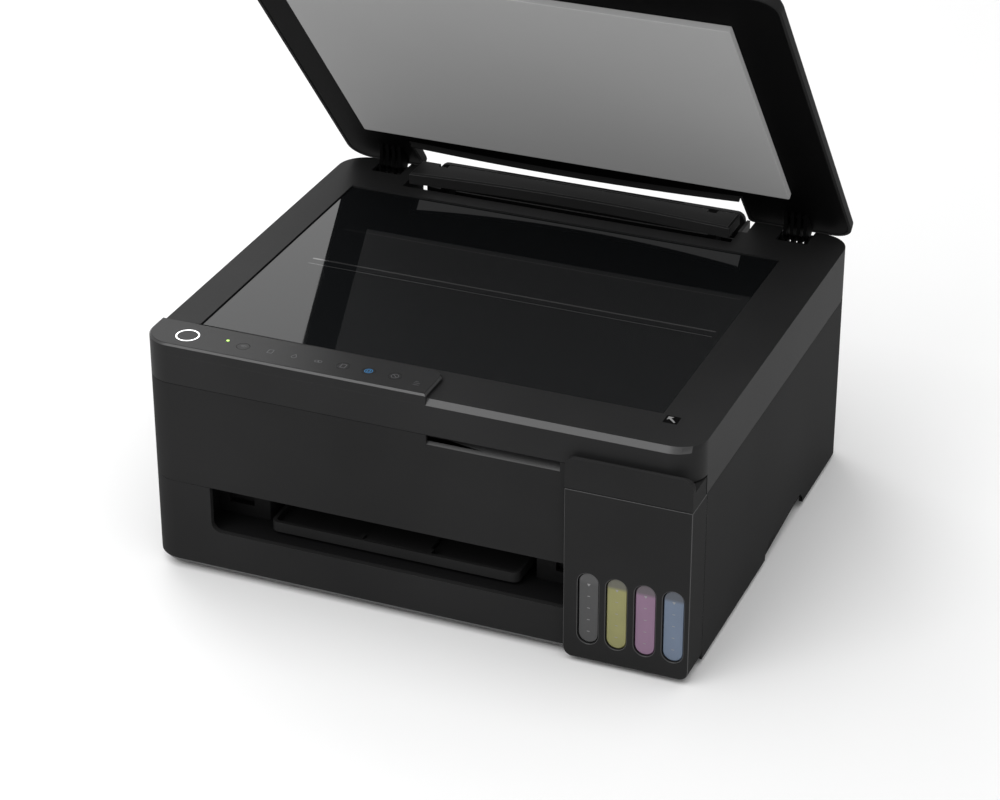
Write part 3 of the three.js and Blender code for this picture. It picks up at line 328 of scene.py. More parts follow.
def moulded(name, colour, roughness, grain=0.05, specular=0.5, spread=0.12):
    """Moulded plastic: spark-eroded grain in the bump, cloudy roughness and a slight change of tone."""
    material, nodes, links, shader = new_material(name)
    shader.inputs["Specular IOR Level"].default_value = specular
    tone = nodes.new("ShaderNodeValToRGB")
    cloud = object_noise(nodes, links, 9.0, 2.0)
    tone.color_ramp.elements[0].position = 0.3
    tone.color_ramp.elements[1].position = 0.7
    tone.color_ramp.elements[0].color = [c * (1 - spread) for c in colour] + [1]
    tone.color_ramp.elements[1].color = [c * (1 + spread) for c in colour] + [1]
    links.new(cloud.outputs["Fac"], tone.inputs["Fac"])
    links.new(tone.outputs["Color"], shader.inputs["Base Color"])
    rough = nodes.new("ShaderNodeMapRange")
    speck = object_noise(nodes, links, 900.0, 4.0)
    rough.inputs["To Min"].default_value = roughness * 0.92
    rough.inputs["To Max"].default_value = min(roughness * 1.08, 1.0)
    links.new(speck.outputs["Fac"], rough.inputs["Value"])
    links.new(rough.outputs["Result"], shader.inputs["Roughness"])
    if grain > 0:
        fine = object_noise(nodes, links, 2600.0, 2.0)
        bump = nodes.new("ShaderNodeBump")
        bump.inputs["Strength"].default_value = grain
        bump.inputs["Distance"].default_value = 0.0002
        links.new(fine.outputs["Fac"], bump.inputs["Height"])
        links.new(bump.outputs["Normal"], shader.inputs["Normal"])
    return material


def metal(name, colour, roughness):
    """Rolled and plated sheet: streaks along X in roughness and tone."""
    material, nodes, links, shader = new_material(name)
    shader.inputs["Metallic"].default_value = 1.0
    coordinates = nodes.new("ShaderNodeTexCoord")
    mapping = nodes.new("ShaderNodeMapping")
    mapping.inputs["Scale"].default_value = (40, 900, 900)
    noise = nodes.new("ShaderNodeTexNoise")
    noise.inputs["Scale"].default_value = 1.0
    tone = nodes.new("ShaderNodeValToRGB")
    tone.color_ramp.elements[0].color = [c * 0.88 for c in colour] + [1]
    tone.color_ramp.elements[1].color = [c * 1.08 for c in colour] + [1]
    rough = nodes.new("ShaderNodeMapRange")
    rough.inputs["To Min"].default_value = roughness * 0.8
    rough.inputs["To Max"].default_value = roughness * 1.2
    links.new(coordinates.outputs["Object"], mapping.inputs["Vector"])
    links.new(mapping.outputs["Vector"], noise.inputs["Vector"])
    links.new(noise.outputs["Fac"], tone.inputs["Fac"])
    links.new(tone.outputs["Color"], shader.inputs["Base Color"])
    links.new(noise.outputs["Fac"], rough.inputs["Value"])
    links.new(rough.outputs["Result"], shader.inputs["Roughness"])
    return material


def glowing(name, colour, strength):
    material, _, _, shader = new_material(name)
    shader.inputs["Base Color"].default_value = (*colour, 1)
    shader.inputs["Emission Color"].default_value = (*colour, 1)
    shader.inputs["Emission Strength"].default_value = strength
    shader.inputs["Roughness"].default_value = 0.4
    return material


def scan_glass():
    """Float glass over a black cavity, with a trace of dust in its gloss."""
    material, nodes, links, shader = new_material("scan_glass")
    shader.inputs["Base Color"].default_value = (0.006, 0.0065, 0.007, 1)
    shader.inputs["IOR"].default_value = 1.5
    shader.inputs["Specular IOR Level"].default_value = 0.11
    dust = object_noise(nodes, links, 14.0, 6.0)
    rough = nodes.new("ShaderNodeMapRange")
    rough.inputs["From Min"].default_value = 0.35
    rough.inputs["From Max"].default_value = 0.75
    rough.inputs["To Min"].default_value = 0.015
    rough.inputs["To Max"].default_value = 0.05
    links.new(dust.outputs["Fac"], rough.inputs["Value"])
    links.new(rough.outputs["Result"], shader.inputs["Roughness"])
    return material


def ink_window(name, ink, air, level):
    """Translucent tank wall: ink below its level, grey air space above, darker towards the rim."""
    material, nodes, links, shader = new_material(name)
    shader.inputs["Roughness"].default_value = 0.28
    shader.inputs["Coat Weight"].default_value = 0.35
    shader.inputs["Coat Roughness"].default_value = 0.12
    coordinates = nodes.new("ShaderNodeTexCoord")
    split = nodes.new("ShaderNodeSeparateXYZ")
    step = nodes.new("ShaderNodeMapRange")
    meniscus = 1.2
    step.inputs["From Min"].default_value = (level - meniscus) * MM
    step.inputs["From Max"].default_value = (level + meniscus) * MM
    mix = nodes.new("ShaderNodeMix")
    mix.data_type = "RGBA"
    tone = nodes.new("ShaderNodeValToRGB")
    tone.color_ramp.elements[0].color = [c * 0.86 for c in ink] + [1]
    tone.color_ramp.elements[1].color = [min(c * 1.12, 1) for c in ink] + [1]
    cloud = object_noise(nodes, links, 60.0, 2.0)
    mix.inputs[7].default_value = (*air, 1)
    links.new(coordinates.outputs["Object"], split.inputs["Vector"])
    links.new(split.outputs["Z"], step.inputs["Value"])
    links.new(cloud.outputs["Fac"], tone.inputs["Fac"])
    links.new(tone.outputs["Color"], mix.inputs[6])
    links.new(step.outputs["Result"], mix.inputs[0])
    links.new(mix.outputs[2], shader.inputs["Base Color"])
    return material


CASE_MAT = moulded("case_black", (0.0205, 0.0205, 0.0207), 0.6, specular=0.03)
BEZEL_MAT = moulded("bezel_black", (0.0190, 0.0190, 0.0193), 0.5, specular=0.08)
PANEL_MAT = moulded("panel_film", (0.0200, 0.0200, 0.0203), 0.42, grain=0.02, specular=0.12)
# Lighter and glossier than the case, without grain: painted highlight for the rounded edges and seams.
HIGHLIGHT_EDGE_MAT = moulded("painted_highlight_edge", (0.034, 0.034, 0.0345), 0.34, grain=0.0, specular=0.55)
INNER_MAT = moulded("inner_black", (0.0075, 0.0075, 0.0078), 0.6, specular=0.15)
LID_INNER_MAT = moulded("lid_inner_black", (0.0022, 0.0022, 0.0023), 0.62, specular=0.04)
# The mat is white: its grey base colour is painted shade, and its emission is painted light that evens out its
# shading, though the mat is no lamp.
MAT_MAT = moulded("document_mat", (0.25, 0.25, 0.25), 0.85, grain=0.08, specular=0.1, spread=0.02)
MAT_PAINTED_LIGHT_SHADER = MAT_MAT.node_tree.nodes["Principled BSDF"]
# Painted light: a glow on the mat.
MAT_PAINTED_LIGHT_SHADER.inputs["Emission Color"].default_value = (1, 1, 1, 1)
MAT_PAINTED_LIGHT_SHADER.inputs["Emission Strength"].default_value = 0.1
GLASS_MAT = scan_glass()
STEEL_MAT = metal("plated_steel", (0.52, 0.53, 0.54), 0.32)
RUBBER_MAT = moulded("rubber", (0.012, 0.012, 0.012), 0.82, grain=0.12, specular=0.3)
GEAR_MAT = moulded("gear_acetal", (0.72, 0.70, 0.62), 0.42, grain=0.03, spread=0.05)
BOARD_MAT = moulded("circuit_board", (0.03, 0.14, 0.06), 0.45, grain=0.03, spread=0.25)
RING_MAT = glowing("power_ring", (1.0, 1.0, 1.0), 1.6)
GREEN_MAT = glowing("status_light", (0.5, 0.95, 0.12), 2.2)
BLUE_MAT = glowing("lit_icon", (0.02, 0.15, 0.34), 0.35)
ICON_MAT = moulded("icon_print", (0.085, 0.085, 0.09), 0.5, grain=0.0)
MARK_MAT = moulded("level_mark", (0.24, 0.24, 0.24), 0.5, grain=0.0)
INK_LEVEL = 58.5
# Each tank's ink, and the air space above it.
INK_COLOURS = {
    "black": ((0.030, 0.030, 0.031), (0.045, 0.045, 0.046)),
    "yellow": ((0.235, 0.225, 0.075), (0.095, 0.092, 0.065)),
    "magenta": ((0.21, 0.115, 0.195), (0.085, 0.065, 0.08)),
    "cyan": ((0.105, 0.145, 0.215), (0.055, 0.065, 0.085)),
}

# ---------------------------------------------------------------- casing


def paint_highlight(obj, low, high, up=1):
    """Paints highlight on the slanted faces that look forwards and up, or down, between two heights, with the
    lighter edge material.
    """
    steep, flat, rearward = 0.35, 0.95, 0.2
    for face in obj.data.polygons:
        z = face.center.z / MM
        if low < z < high and steep < face.normal.z * up < flat and face.normal.y < rearward:
            face.material_index = 1


def lower_case():
    bevel, strip, wall, above = 3, 3.6, 3.9, 90
    side_radius, mouth_left, mouth_radius, right_end = 15, -141.9, 7, 160
    inlet_x0, inlet_x1, inlet_z0, inlet_z1 = 111.7, 140.3, 19.7, 42.3
    z0 = BASE.z0
    shell = loft("lower_case_shell", [
        (z0, body_plan(bevel)), (z0 + strip, body_plan(0)), (BASE_TOP, body_plan(0)),
    ])
    side = rounded(-HALF - 1, HALF + 1, z0, OVER, (side_radius, 0, 0, 0), 14)
    combine(shell, "INTERSECT", [prism("side_round", side, "y", -2, DEPTH + 2)])
    mouth = rounded(mouth_left, HALF + OUT, SILL, above, (mouth_radius, 0, 0, 0))
    hollow = [(z0 + WALL, body_plan(wall + 2)), (z0 + 12, body_plan(wall)), (above, body_plan(wall))]
    cut(
        shell,
        loft("hollow", hollow),
        prism("mouth", mouth, "y", -OUT, wall + 4),
        block("tank_room", TANK.x0 - TANK_GAP, HALF + OUT, -OUT, TANK.y1 + SEAM, -OUT, above),
        block("side_room", HALF - wall - 0.05, HALF + OUT, -OUT, DEPTH + OUT, -OUT, above),
        block("corner_room", right_end, HALF + OUT, DEPTH - CORNER - 5, DEPTH + OUT, -OUT, above),
        block("inlet_room", inlet_x0, inlet_x1, DEPTH - 10, DEPTH + OUT, inlet_z0, inlet_z1),
    )
    soften(shell, 0.65, 3, edge=True)
    # Painted light on the bottom chamfer, which faces the floor: it takes the lighter edge material.
    paint_highlight(shell, z0 + 0.3, z0 + strip + 0.1, up=-1)
    return dress(shell, CASE_MAT, "base", "case_plastic", "lower_case")


def main_housing():
    shell = prism("main_housing_shell", body_plan(0), "z", BASE.z0, CASE_TOP)
    finger_x0, finger_x1, drop, reach = 11.1, 99.8, 6.5, 9
    cut(shell, prism("hollow", body_plan(WALL), "z", -OUT, OVER))
    join(shell, block(
        "ledge", finger_x0 - 3, finger_x1 + 3, WALL / 2, reach + 3, CASE_TOP - drop - 5, CASE_TOP - 0.02,
    ))
    ramp = [
        (-OUT, CASE_TOP - drop), (0.2, CASE_TOP - drop), (reach, CASE_TOP - 0.4), (reach, OVER), (-OUT, OVER),
    ]
    hold_low, hold_top = BASE.z0 + 4, 13
    hold = [(147, -OUT), (232, -OUT), (230, hold_low), (224, hold_top), (155, hold_top), (149, hold_low)]
    base_end, skirt_x0 = 160.3, 149
    cut(
        shell,
        prism("ramp", ramp, "x", finger_x0, finger_x1),
        block("tank_room", TANK.x0 - TANK_GAP, HALF + OUT, -OUT, TANK.y1 + SEAM, -OUT, OVER),
        block("base_room", -HALF - OUT, base_end, -OUT, DEPTH + OUT, -OUT, BASE_TOP + SEAM),
        block("skirt_room", skirt_x0, HALF + OUT, TANK.y1 - 1, DEPTH + OUT, TANK.z1, OVER),
        prism("hand_hold", hold, "x", HALF - 10, HALF + OUT),
        block("paper_window", -100, 80, DEPTH - 5, DEPTH + OUT, 66, 84),
    )
    soften(shell, 0.6, 3, edge=True)
    # Painted highlight on the finger ramp and along the top edge.
    paint_highlight(shell, CASE_TOP - drop - 0.5, CASE_TOP + 0.1)
    return dress(shell, CASE_MAT, "base", "case_plastic", "main_housing")


# The windows in the tank housing's front, and the clearance round the tank behind each.
SLOT_LOW, SLOT_TOP, SLOT_WIDTH, SLOT_GAP = 15, 66, 14, 0.6


def tank_housing():
    front = rounded(TANK.x0, TANK.x1, TANK.z0, TANK.z1, (6, 6, 0, 0), 12)
    shell = prism("tank_housing_shell", front, "y", TANK.y0, TANK.y1)
    windows = [stadium(centre(tank)[0], SLOT_LOW, SLOT_TOP, SLOT_WIDTH) for tank in INK_TANKS.values()]
    slots = [prism("slot", window, "y", TANK.y0 - 2, TANK.y0 + WALL + 2) for window in windows]
    cut(
        shell,
        block("room", TANK.x0 + WALL, HALF - WALL, TANK.y0 + WALL, TANK.y1 + OUT, TANK.z0 + WALL, OVER),
        *slots,
    )
    soften(shell, 0.6, 3, edge=True)
    return dress(shell, CASE_MAT, "base", "case_plastic", "tank_housing")


def tank_cover():
    low, top = COVER.z0, COVER.z1
    lip = [
        (COVER.y0, low), (-1.3, low), (-1.3, SCAN_LOW + 4), (-2.0, top - 1.6), (-3.2, top - 0.3), (-4.4, top),
        (COVER.y0 + 0.6, top - 0.4), (COVER.y0, top - 1.4),
    ]
    cover = prism("tank_cover_shell", lip, "x", TANK.x0, HALF)
    plate_top, side_back = 136.2, 18.2
    right, ceiling = HALF - WALL - 1.5, plate_top - WALL
    join(
        cover,
        block("front_block", TANK.x0 + 0.01, HALF - 0.01, COVER.y0 + 0.01, side_back, low + 0.01, plate_top),
        block("rear_plate", TANK.x0 + 0.02, right, side_back - 1, COVER.y1, low + 0.02, plate_top - 0.02),
    )
    cut(
        cover,
        block("front_room", TANK.x0 + WALL, HALF - WALL, COVER.y0 + 4, side_back - WALL, low - 5, ceiling),
        block(
            "rear_room", TANK.x0 + WALL, right - WALL, side_back - WALL - 1, COVER.y1 - WALL, low - 5, ceiling,
        ),
    )
    edge = rounded(TANK.x0, HALF, low - 20, top, (0, 0, 8, 8), 14)
    combine(cover, "INTERSECT", [prism("corners", edge, "y", -20, COVER.y1 + OUT)])
    soften(cover, 0.7, 3, edge=True)
    return dress(cover, CASE_MAT, "tank_cover", "case_plastic", "tank_cover")


# ---------------------------------------------------------------- ink tanks


def ink_tank(ink, span):
    x = centre(span)[0]
    front = TANK.y0 + WALL + SEAM
    back, top, neck_y, neck_top, pin_y, pin_z = 92, 100, 30, 108, 47, 109
    material = ink_window("ink_" + ink, *INK_COLOURS[ink], INK_LEVEL)
    body = prism("ink_tank_%s_body" % ink, rounded(span.x0, span.x1, front, back, 2, 6), "z", span.z0, top)
    face = front - 1.35
    outline = stadium(x, SLOT_LOW + SLOT_GAP, SLOT_TOP - SLOT_GAP, SLOT_WIDTH - 2 * SLOT_GAP)
    window = prism("window", outline, "y", face, front + 1)
    neck = rod("neck", "z", x, neck_y, 5, top - 1, neck_top, 28)
    lug = block("lug", x - 1.6, x + 1.6, pin_y - 3, pin_y + 3, top - 1, pin_z + 3)
    join(body, window, neck, lug)
    cut(body, rod("pin_hole", "x", pin_y, pin_z, 1.6, x - 5, x + 5, 20))
    soften(body, 0.7, 3)
    dress(body, material, "base", "ink_" + ink, "ink_tank_" + ink)
    marks = []
    for i, z in enumerate((57, 49, 40.5, 32, 23.5)):
        if i == 0:
            outline = [(x - 1.1, z + 1), (x, z - 0.8), (x + 1.1, z + 1)]
        else:
            outline = rounded(x - 0.9, x + 0.9, z - 0.22, z + 0.22, 0.1, 3)
        marks.append(prism("mark", outline, "y", face - 0.06, face + 0.1))
    mark = join(marks[0], *marks[1:])
    mark.name = "level_marks_" + ink
    smooth(mark)
    dress(mark, MARK_MAT, "base", "ink_" + ink)


# ---------------------------------------------------------------- output bay and tray


def tray_bay():
    right = TANK.x0 - TANK_GAP - SEAM
    left = BAY.x0 + 2
    front, back, ceiling = 4.2, BAY.y1, BAY.z1
    floor = block("tray_bay_floor", left, right, front, back, SILL - WALL, SILL)
    face, rear, left_end, right_end = 27, 70, -109, 74.4
    left_block = prism("left_block", [
        (left + 0.02, face), (left_end - 5, face), (left_end - 3.6, face + 0.6), (left_end, face + 7),
        (left_end, rear), (left + 0.02, rear),
    ], "z", SILL - 0.5, ceiling)
    right_block = block("right_block", right_end, right - 0.02, face, rear, SILL - 0.5, ceiling)
    join(
        floor,
        block("left_wall", left - 2, left + 0.01, front + 3, back - 0.01, BAY.z0, ceiling),
        block("right_wall", right - 2.01, right - 0.01, front + 3, back - 0.02, BAY.z0, ceiling),
        left_block, right_block,
    )
    cut(
        floor,
        block("left_pocket", -142, -124, 20, 32, 41.5, 49),
        block("right_pocket", 87.6, right - 2.5, 20, 32, 41.5, 48),
    )
    soften(floor, 0.4)
    return dress(floor, INNER_MAT, "base", "inner_plastic", "tray_bay")


def output_tray():
    plate, rim, low, top = 3, 2.5, TRAY_LOW, TRAY.z1
    plan = rounded(TRAY.x0, TRAY.x1, TRAY.y0, TRAY.y1, (5, 5, 1, 1), 10)
    inner = rounded(TRAY.x0 + rim, TRAY.x1 - rim, TRAY.y0 + rim, TRAY.y1 + OUT, (3, 3, 0, 0), 8)
    tray = prism("output_tray_shell", plan, "z", low, top)
    cut(tray, prism("well", inner, "z", low + plate, top + OUT))
    stop = Span("paper_stop")
    runners = [block("runner", x, x + 3, TRAY.y0 + 8, TRAY.y1 - 0.01, TRAY.z0, low + 0.2) for x in (-64, 25)]
    posts = []
    post_y0, post_y1, pin_y, pin_z = 14, 20, 17, 40.6
    for x in (stop.x0 - 0.6, stop.x1 - 1.9):
        post = block("post", x, x + 2.5, post_y0, post_y1, low + 1, top - 0.02)
        posts.append(cut(post, rod("pin_hole", "x", pin_y, pin_z, 1.4, x - 2, x + 5, 20)))
    cut(tray, block("flap_room", stop.x0 + 1.9, stop.x1 - 1.9, post_y0, stop.y1 + 2, low + 1.6, top + OUT))
    groove_low, groove_top = low + plate - 0.5, low + plate + 3
    grooves = [
        block("groove", x, x + 1.2, 60, TRAY.y1 - 12, groove_low, groove_top) for x in (-85, -55, 20, 48)
    ]
    cut(tray, *grooves)
    join(tray, *runners, *posts)
    soften(tray, 0.6, 3, edge=True)
    return dress(tray, CASE_MAT, "output_tray", "case_plastic", "output_tray")


# ---------------------------------------------------------------- scanner unit

# The rear notch round the feeder, and the small step in its right side.
NOTCH_LEFT, NOTCH_RIGHT, NOTCH_Y = -130.5, 112.5, 283.4
STEP_RIGHT, STEP_Y = 118, 302
PANEL_RIGHT, PANEL_BACK, PANEL_CORNER = 11.2, 33, 9


def scanner_plan(inset, band=0.0):
    r = max(CORNER - inset, 1)
    x0, x1, y1 = -HALF + inset, HALF - inset, DEPTH - inset
    points = arc(x1 - r, inset + r, r, 270, 360, 14, r - band)
    points += arc(x1 - r, y1 - r, r, 0, 90, 14)
    step_x, step_y = STEP_RIGHT + inset, STEP_Y - inset
    left, right, front = NOTCH_LEFT - inset, NOTCH_RIGHT + inset, NOTCH_Y - inset
    points += [(step_x, y1), (step_x, step_y), (right, step_y), (right, front), (left, front), (left, y1)]
    points += arc(x0 + r, y1 - r, r, 90, 180, 14)
    points += arc(x0 + r, inset + r, r, 180, 270, 14, r - band)
    return points


def panel_plan(inset):
    r = max(CORNER - inset, 1)
    x1, y1 = PANEL_RIGHT - inset, PANEL_BACK - inset
    big = max(PANEL_CORNER - inset, 1)
    points = arc(-HALF + inset + r, inset + r, r, 180, 270, 14)
    points += [(x1, inset)]
    points += arc(x1 - big, y1 - big, big, 0, 90, 10)
    points += [(-HALF + inset, y1)]
    return points


KEYS = {name: Span(name) for name in ("network_key", "mono_copy_key", "colour_copy_key", "stop_key")}
POWER = Span("power_button")
KEY_RADIUS, POWER_RADIUS, BUTTON_GAP = 4.2, 7.7, 0.15


def button_wells(name):
    low, high = PANEL_TOP - 2.6, PANEL_TOP + OUT
    wells = [rod(name, "z", *centre(key), KEY_RADIUS + BUTTON_GAP, low, high, 40) for key in KEYS.values()]
    wells.append(rod(name, "z", *centre(POWER), POWER_RADIUS + BUTTON_GAP, low, high, 56))
    return wells


def scanner_bezel():
    low = TANK.z1 + SEAM
    body = loft("scanner_bezel_shell", [
        (low, scanner_plan(0)), (BAND_LOW, scanner_plan(0)), (BEZEL_TOP, scanner_plan(0, BAND)),
    ])
    chamfer, film_seat = 1.4, 0.25
    raised = loft("raised", [
        (SCAN_LOW + 5, panel_plan(0.01)), (PANEL_TOP - chamfer, panel_plan(0.01)),
        (PANEL_TOP - film_seat, panel_plan(chamfer - film_seat)),
    ])
    join(body, raised)
    cut(body, prism("hollow", scanner_plan(WALL), "z", low - 5, BEZEL_TOP - WALL))
    def over_glass(name, grow, z0, z1):
        return block(name, GLASS.x0 - grow, GLASS.x1 + grow, GLASS.y0 - grow, GLASS.y1 + grow, z0, z1)

    join(body, over_glass("glass_ring", 2.7, GLASS.z0 - 3, BEZEL_TOP - 0.5))
    slot_y, slot_floor, relief = 300, 152, 1.2
    slots = []
    for post in ("hinge_post_left", "hinge_post_right"):
        span = Span(post)
        x0, x1 = span.x0 - 0.3, span.x1 + 0.3
        slots.append(block("slot", x0, x1, slot_y - 0.5, DEPTH - WALL - 0.1, low - 5, BEZEL_TOP + 5))
        slots.append(block("slot_back", x0, x1, slot_y + 0.5, DEPTH + OUT, slot_floor, BEZEL_TOP + 5))
    cut(
        body,
        over_glass("glass_seat", SEAM, GLASS.z0 - SEAM, BEZEL_TOP + 9),
        over_glass("view", -3.7, low, BEZEL_TOP + 9),
        block("below_left", -HALF - OUT, 149.3, -OUT, DEPTH + OUT, low - 5, SCAN_LOW),
        block("below_front", 149, HALF + OUT, -OUT, 19.7, low - 5, SCAN_LOW + 0.01),
        block("rear_relief", -HALF - OUT, 150, slot_y, DEPTH + OUT, low - 5, SCAN_LOW + relief),
        block("skirt_relief", 148, HALF + OUT, slot_y + 0.01, DEPTH + OUT, low - 5, low + relief),
        *slots,
        *button_wells("well"),
    )
    ticks = [
        block("tick", x - 0.15, x + 0.15, GLASS.y0 - 4.5, GLASS.y0 - 1, BEZEL_TOP - 0.15, BEZEL_TOP + 1)
        for x in (-150, -118, -85, 132)
    ]
    cut(body, *ticks)
    soften(body, 0.6, 3, edge=True)
    # Painted highlight on the bezel's front band and on the panel's chamfer.
    paint_highlight(body, BAND_LOW - 0.3, BEZEL_TOP + 0.05)
    paint_highlight(body, PANEL_TOP - 1.5, PANEL_TOP)
    return dress(body, BEZEL_MAT, "scanner", "bezel_plastic", "scanner_bezel")


def control_panel():
    film = prism("control_panel_film", panel_plan(1.3), "z", PANEL_TOP - 0.6, PANEL_TOP - 0.02)
    cut(film, *button_wells("hole"))
    soften(film, 0.12, 2)
    dress(film, PANEL_MAT, "scanner", "bezel_plastic", "control_panel")


def buttons():
    top = PANEL_TOP - 0.02
    for name, span in KEYS.items():
        x, y = centre(span)
        cap = rod(name + "_cap", "z", x, y, KEY_RADIUS, top - 1.5, top, 56)
        soften(cap, 0.15, 3)
        dress(cap, PANEL_MAT, name, "bezel_plastic", name)
    x, y = centre(POWER)
    cap = rod("power_button_cap", "z", x, y, POWER_RADIUS - 0.95, top - 1.5, top, 72)
    soften(cap, 0.15, 3)
    dress(cap, PANEL_MAT, "power_button", "bezel_plastic", "power_button")
    ring = rod("power_ring", "z", x, y, POWER_RADIUS, top - 1.5, top + 0.04, 96)
    cut(ring, rod("ring_bore", "z", x, y, POWER_RADIUS - 0.85, top - 9, top + 9, 96))
    soften(ring, 0.12, 2)
    dress(ring, RING_MAT, "power_button", "bezel_plastic")


def bar_icon(name, strokes, material, body):
    """Thin printed strokes (x0, y0, x1, y1, width) that lie on the panel."""
    pieces = []
    top = PANEL_TOP - 0.02
    for x0, y0, x1, y1, width in strokes:
        dx, dy = x1 - x0, y1 - y0
        length = math.hypot(dx, dy)
        nx, ny = -dy / length * width / 2, dx / length * width / 2
        outline = [(x0 + nx, y0 + ny), (x0 - nx, y0 - ny), (x1 - nx, y1 - ny), (x1 + nx, y1 + ny)]
        pieces.append(prism(name, outline, "z", top - 0.01, top + 0.05))
    icon = pieces[0]
    if len(pieces) > 1:
        join(icon, *pieces[1:])
    icon.name = name
    smooth(icon)
    dress(icon, material, body, "bezel_plastic")


STROKE = 0.4


def ring_strokes(x, y, radius, start, end, steps=12):
    points = arc(x, y, radius, start, end, steps)
    return [(*points[i], *points[i + 1], STROKE) for i in range(steps)]


def box_strokes(x, y, w, h):
    return [
        (x - w, y - h, x + w, y - h, STROKE), (x + w, y - h, x + w, y + h, STROKE),
        (x + w, y + h, x - w, y + h, STROKE), (x - w, y + h, x - w, y - h, STROKE),
    ]


def panel_icons():
    x, y = centre(KEYS["network_key"])
    waves = ring_strokes(x, y - 1.5, 2.6, 45, 135) + ring_strokes(x, y - 1.5, 1.3, 45, 135)
    bar_icon("network_icon", waves, ICON_MAT, "network_key")
    x, y = centre(KEYS["mono_copy_key"])
    bar_icon("mono_copy_icon", box_strokes(x, y, 1.6, 2.2), ICON_MAT, "mono_copy_key")
    x, y = centre(KEYS["colour_copy_key"])
    ring = ring_strokes(x, y, 2.5, 0, 360, 20)
    bar_icon("colour_copy_icon", ring + box_strokes(x, y, 1.0, 1.3), BLUE_MAT, "colour_copy_key")
    x, y = centre(KEYS["stop_key"])
    slash = [(x - 1.6, y + 1.6, x + 1.6, y - 1.6, STROKE)]
    bar_icon("stop_icon", ring_strokes(x, y, 2.4, 0, 360, 20) + slash, ICON_MAT, "stop_key")
    bar_icon("sheet_icon", box_strokes(-101.6, 15.4, 1.6, 2.2), ICON_MAT, "scanner")
    tip = [(-86.1, 15.8, -85, 18, STROKE), (-83.9, 15.8, -85, 18, STROKE)]
    bar_icon("drop_icon", ring_strokes(-85, 14.6, 1.6, 135, 405, 14) + tip, ICON_MAT, "scanner")
    links = ring_strokes(-69.2, 14.7, 1.3, 0, 360, 14) + ring_strokes(-67, 14.7, 1.3, 0, 360, 14)
    bar_icon("link_icon", links, ICON_MAT, "scanner")
    bars = [(-1.5, 9.5, 2.5, 9.5, 0.35), (-1.5, 11.5, 2.5, 11.5, 0.35), (-1.5, 13.5, 1, 13.5, 0.35)]
    bar_icon("marks_icon", bars, ICON_MAT, "scanner")
    light = rod("status_light", "z", -133.1, 18.6, 0.9, PANEL_TOP - 0.3, PANEL_TOP + 0.06, 28)
    soften(light, 0.08, 2)
    dress(light, GREEN_MAT, "scanner", "bezel_plastic")


def glass_unit():
    pane = block("glass_pane", GLASS.x0, GLASS.x1, GLASS.y0, GLASS.y1, GLASS.z0, GLASS.z1)
    soften(pane, 0.3, 2)
    dress(pane, GLASS_MAT, "scanner", "scan_glass", "scanner_glass")
    for i, (y, width, shade) in enumerate(((148, 0.5, 0.05), (155, 1.6, 0.03), (205, 0.5, 0.025))):
        z = GLASS.z1
        line = block("guide_line_%d" % i, GLASS.x0 + 24, GLASS.x1 - 6, y, y + width, z - 0.02, z + 0.02)
        material = moulded("guide_tone_%d" % i, (shade, shade, shade), 0.08, grain=0.0)
        smooth(line)
        dress(line, material, "scanner", "scan_glass")
    size, x, y = 4.6, GLASS.x1 + 7.7, GLASS.y0 - 5.9
    outline = rounded(x - size, x + size, y - size, y + size, 0.6, 4)
    tile = prism("corner_mark_tile", outline, "z", BEZEL_TOP - 0.02, BEZEL_TOP + 0.04)
    smooth(tile)
    dress(tile, LID_INNER_MAT, "scanner", "bezel_plastic")
    arrow = prism("corner_arrow", [
        (x - 3.2, y + 3.4), (x - 3.2, y - 0.6), (x - 2.0, y + 0.6), (x + 2.2, y - 3.2), (x + 3.0, y - 2.4),
        (x - 1.0, y + 1.8), (x + 0.4, y + 3.4),
    ], "z", BEZEL_TOP + 0.03, BEZEL_TOP + 0.08)
    smooth(arrow)
    dress(arrow, MARK_MAT, "scanner", "bezel_plastic")


# ---------------------------------------------------------------- document lid (drawn closed, then opened)

LID_JOINT = next(j for j in frame["joints"] if j["name"] == "lid_hinge")
LID_OPEN = math.radians(-LID_JOINT["range_deg"][0])
HINGE = Vector(LID_JOINT["pos_m"])
HINGE_Y, HINGE_Z = (HINGE.y - FRONT_Y) / MM, HINGE.z / MM
LID_LOW = 166.5
# The lid's outer profile: its rise from the rim, and how far it has drawn in there.
LID_SHOULDER = (
    (0, 0), (4.5, 0), (5.6, 0.12), (6.6, 0.72), (8.8, 2.6), (11, 4.55), (13.2, 6.45), (15.4, 8.4), (17.2, 10.1),
    (18.5, 11.8), (19.5, 14), (20, 17),
)
LID_FRONT, LID_LEFT_FRONT, LID_NOTCH_X = 2, 36.5, 14.8
LID_REAR, LID_BOW = 284.2, 6


def open_lid(obj):
    """Turns a piece that was drawn closed to the lid's rest position."""
    turn = Matrix.Translation(HINGE) @ Matrix.Rotation(-LID_OPEN, 4, "X") @ Matrix.Translation(-HINGE)
    obj.data.transform(turn)
    return obj


def lid_plan(inset):
    r = max(CORNER - 4 - inset, 1.0)
    x0, x1, y1 = -HALF + inset, HALF - inset, DEPTH - inset
    left, right, rear = NOTCH_LEFT - inset, NOTCH_RIGHT + inset, LID_REAR - inset
    front, left_front, notch_x = LID_FRONT + inset, LID_LEFT_FRONT + inset, LID_NOTCH_X + inset
    points = arc(x1 - r, front + r, r, 270, 360, 12)
    points += arc(x1 - r, y1 - r, r, 0, 90, 12)
    points += arc(right + 4, y1 - 4, 4, 90, 180, 6)
    points += list(reversed(bow(left, right, rear, LID_BOW)))
    points += arc(left - 3, y1 - 3, 3, 0, 90, 6)
    points += arc(x0 + r, y1 - r, r, 90, 180, 12)
    points += arc(x0 + r, left_front + r, r, 180, 270, 12)
    points += arc(notch_x - 8, left_front - 8, 8, 90, 0, 8)
    points += arc(notch_x + 6, front + 6, 6, 180, 270, 8)
    return points


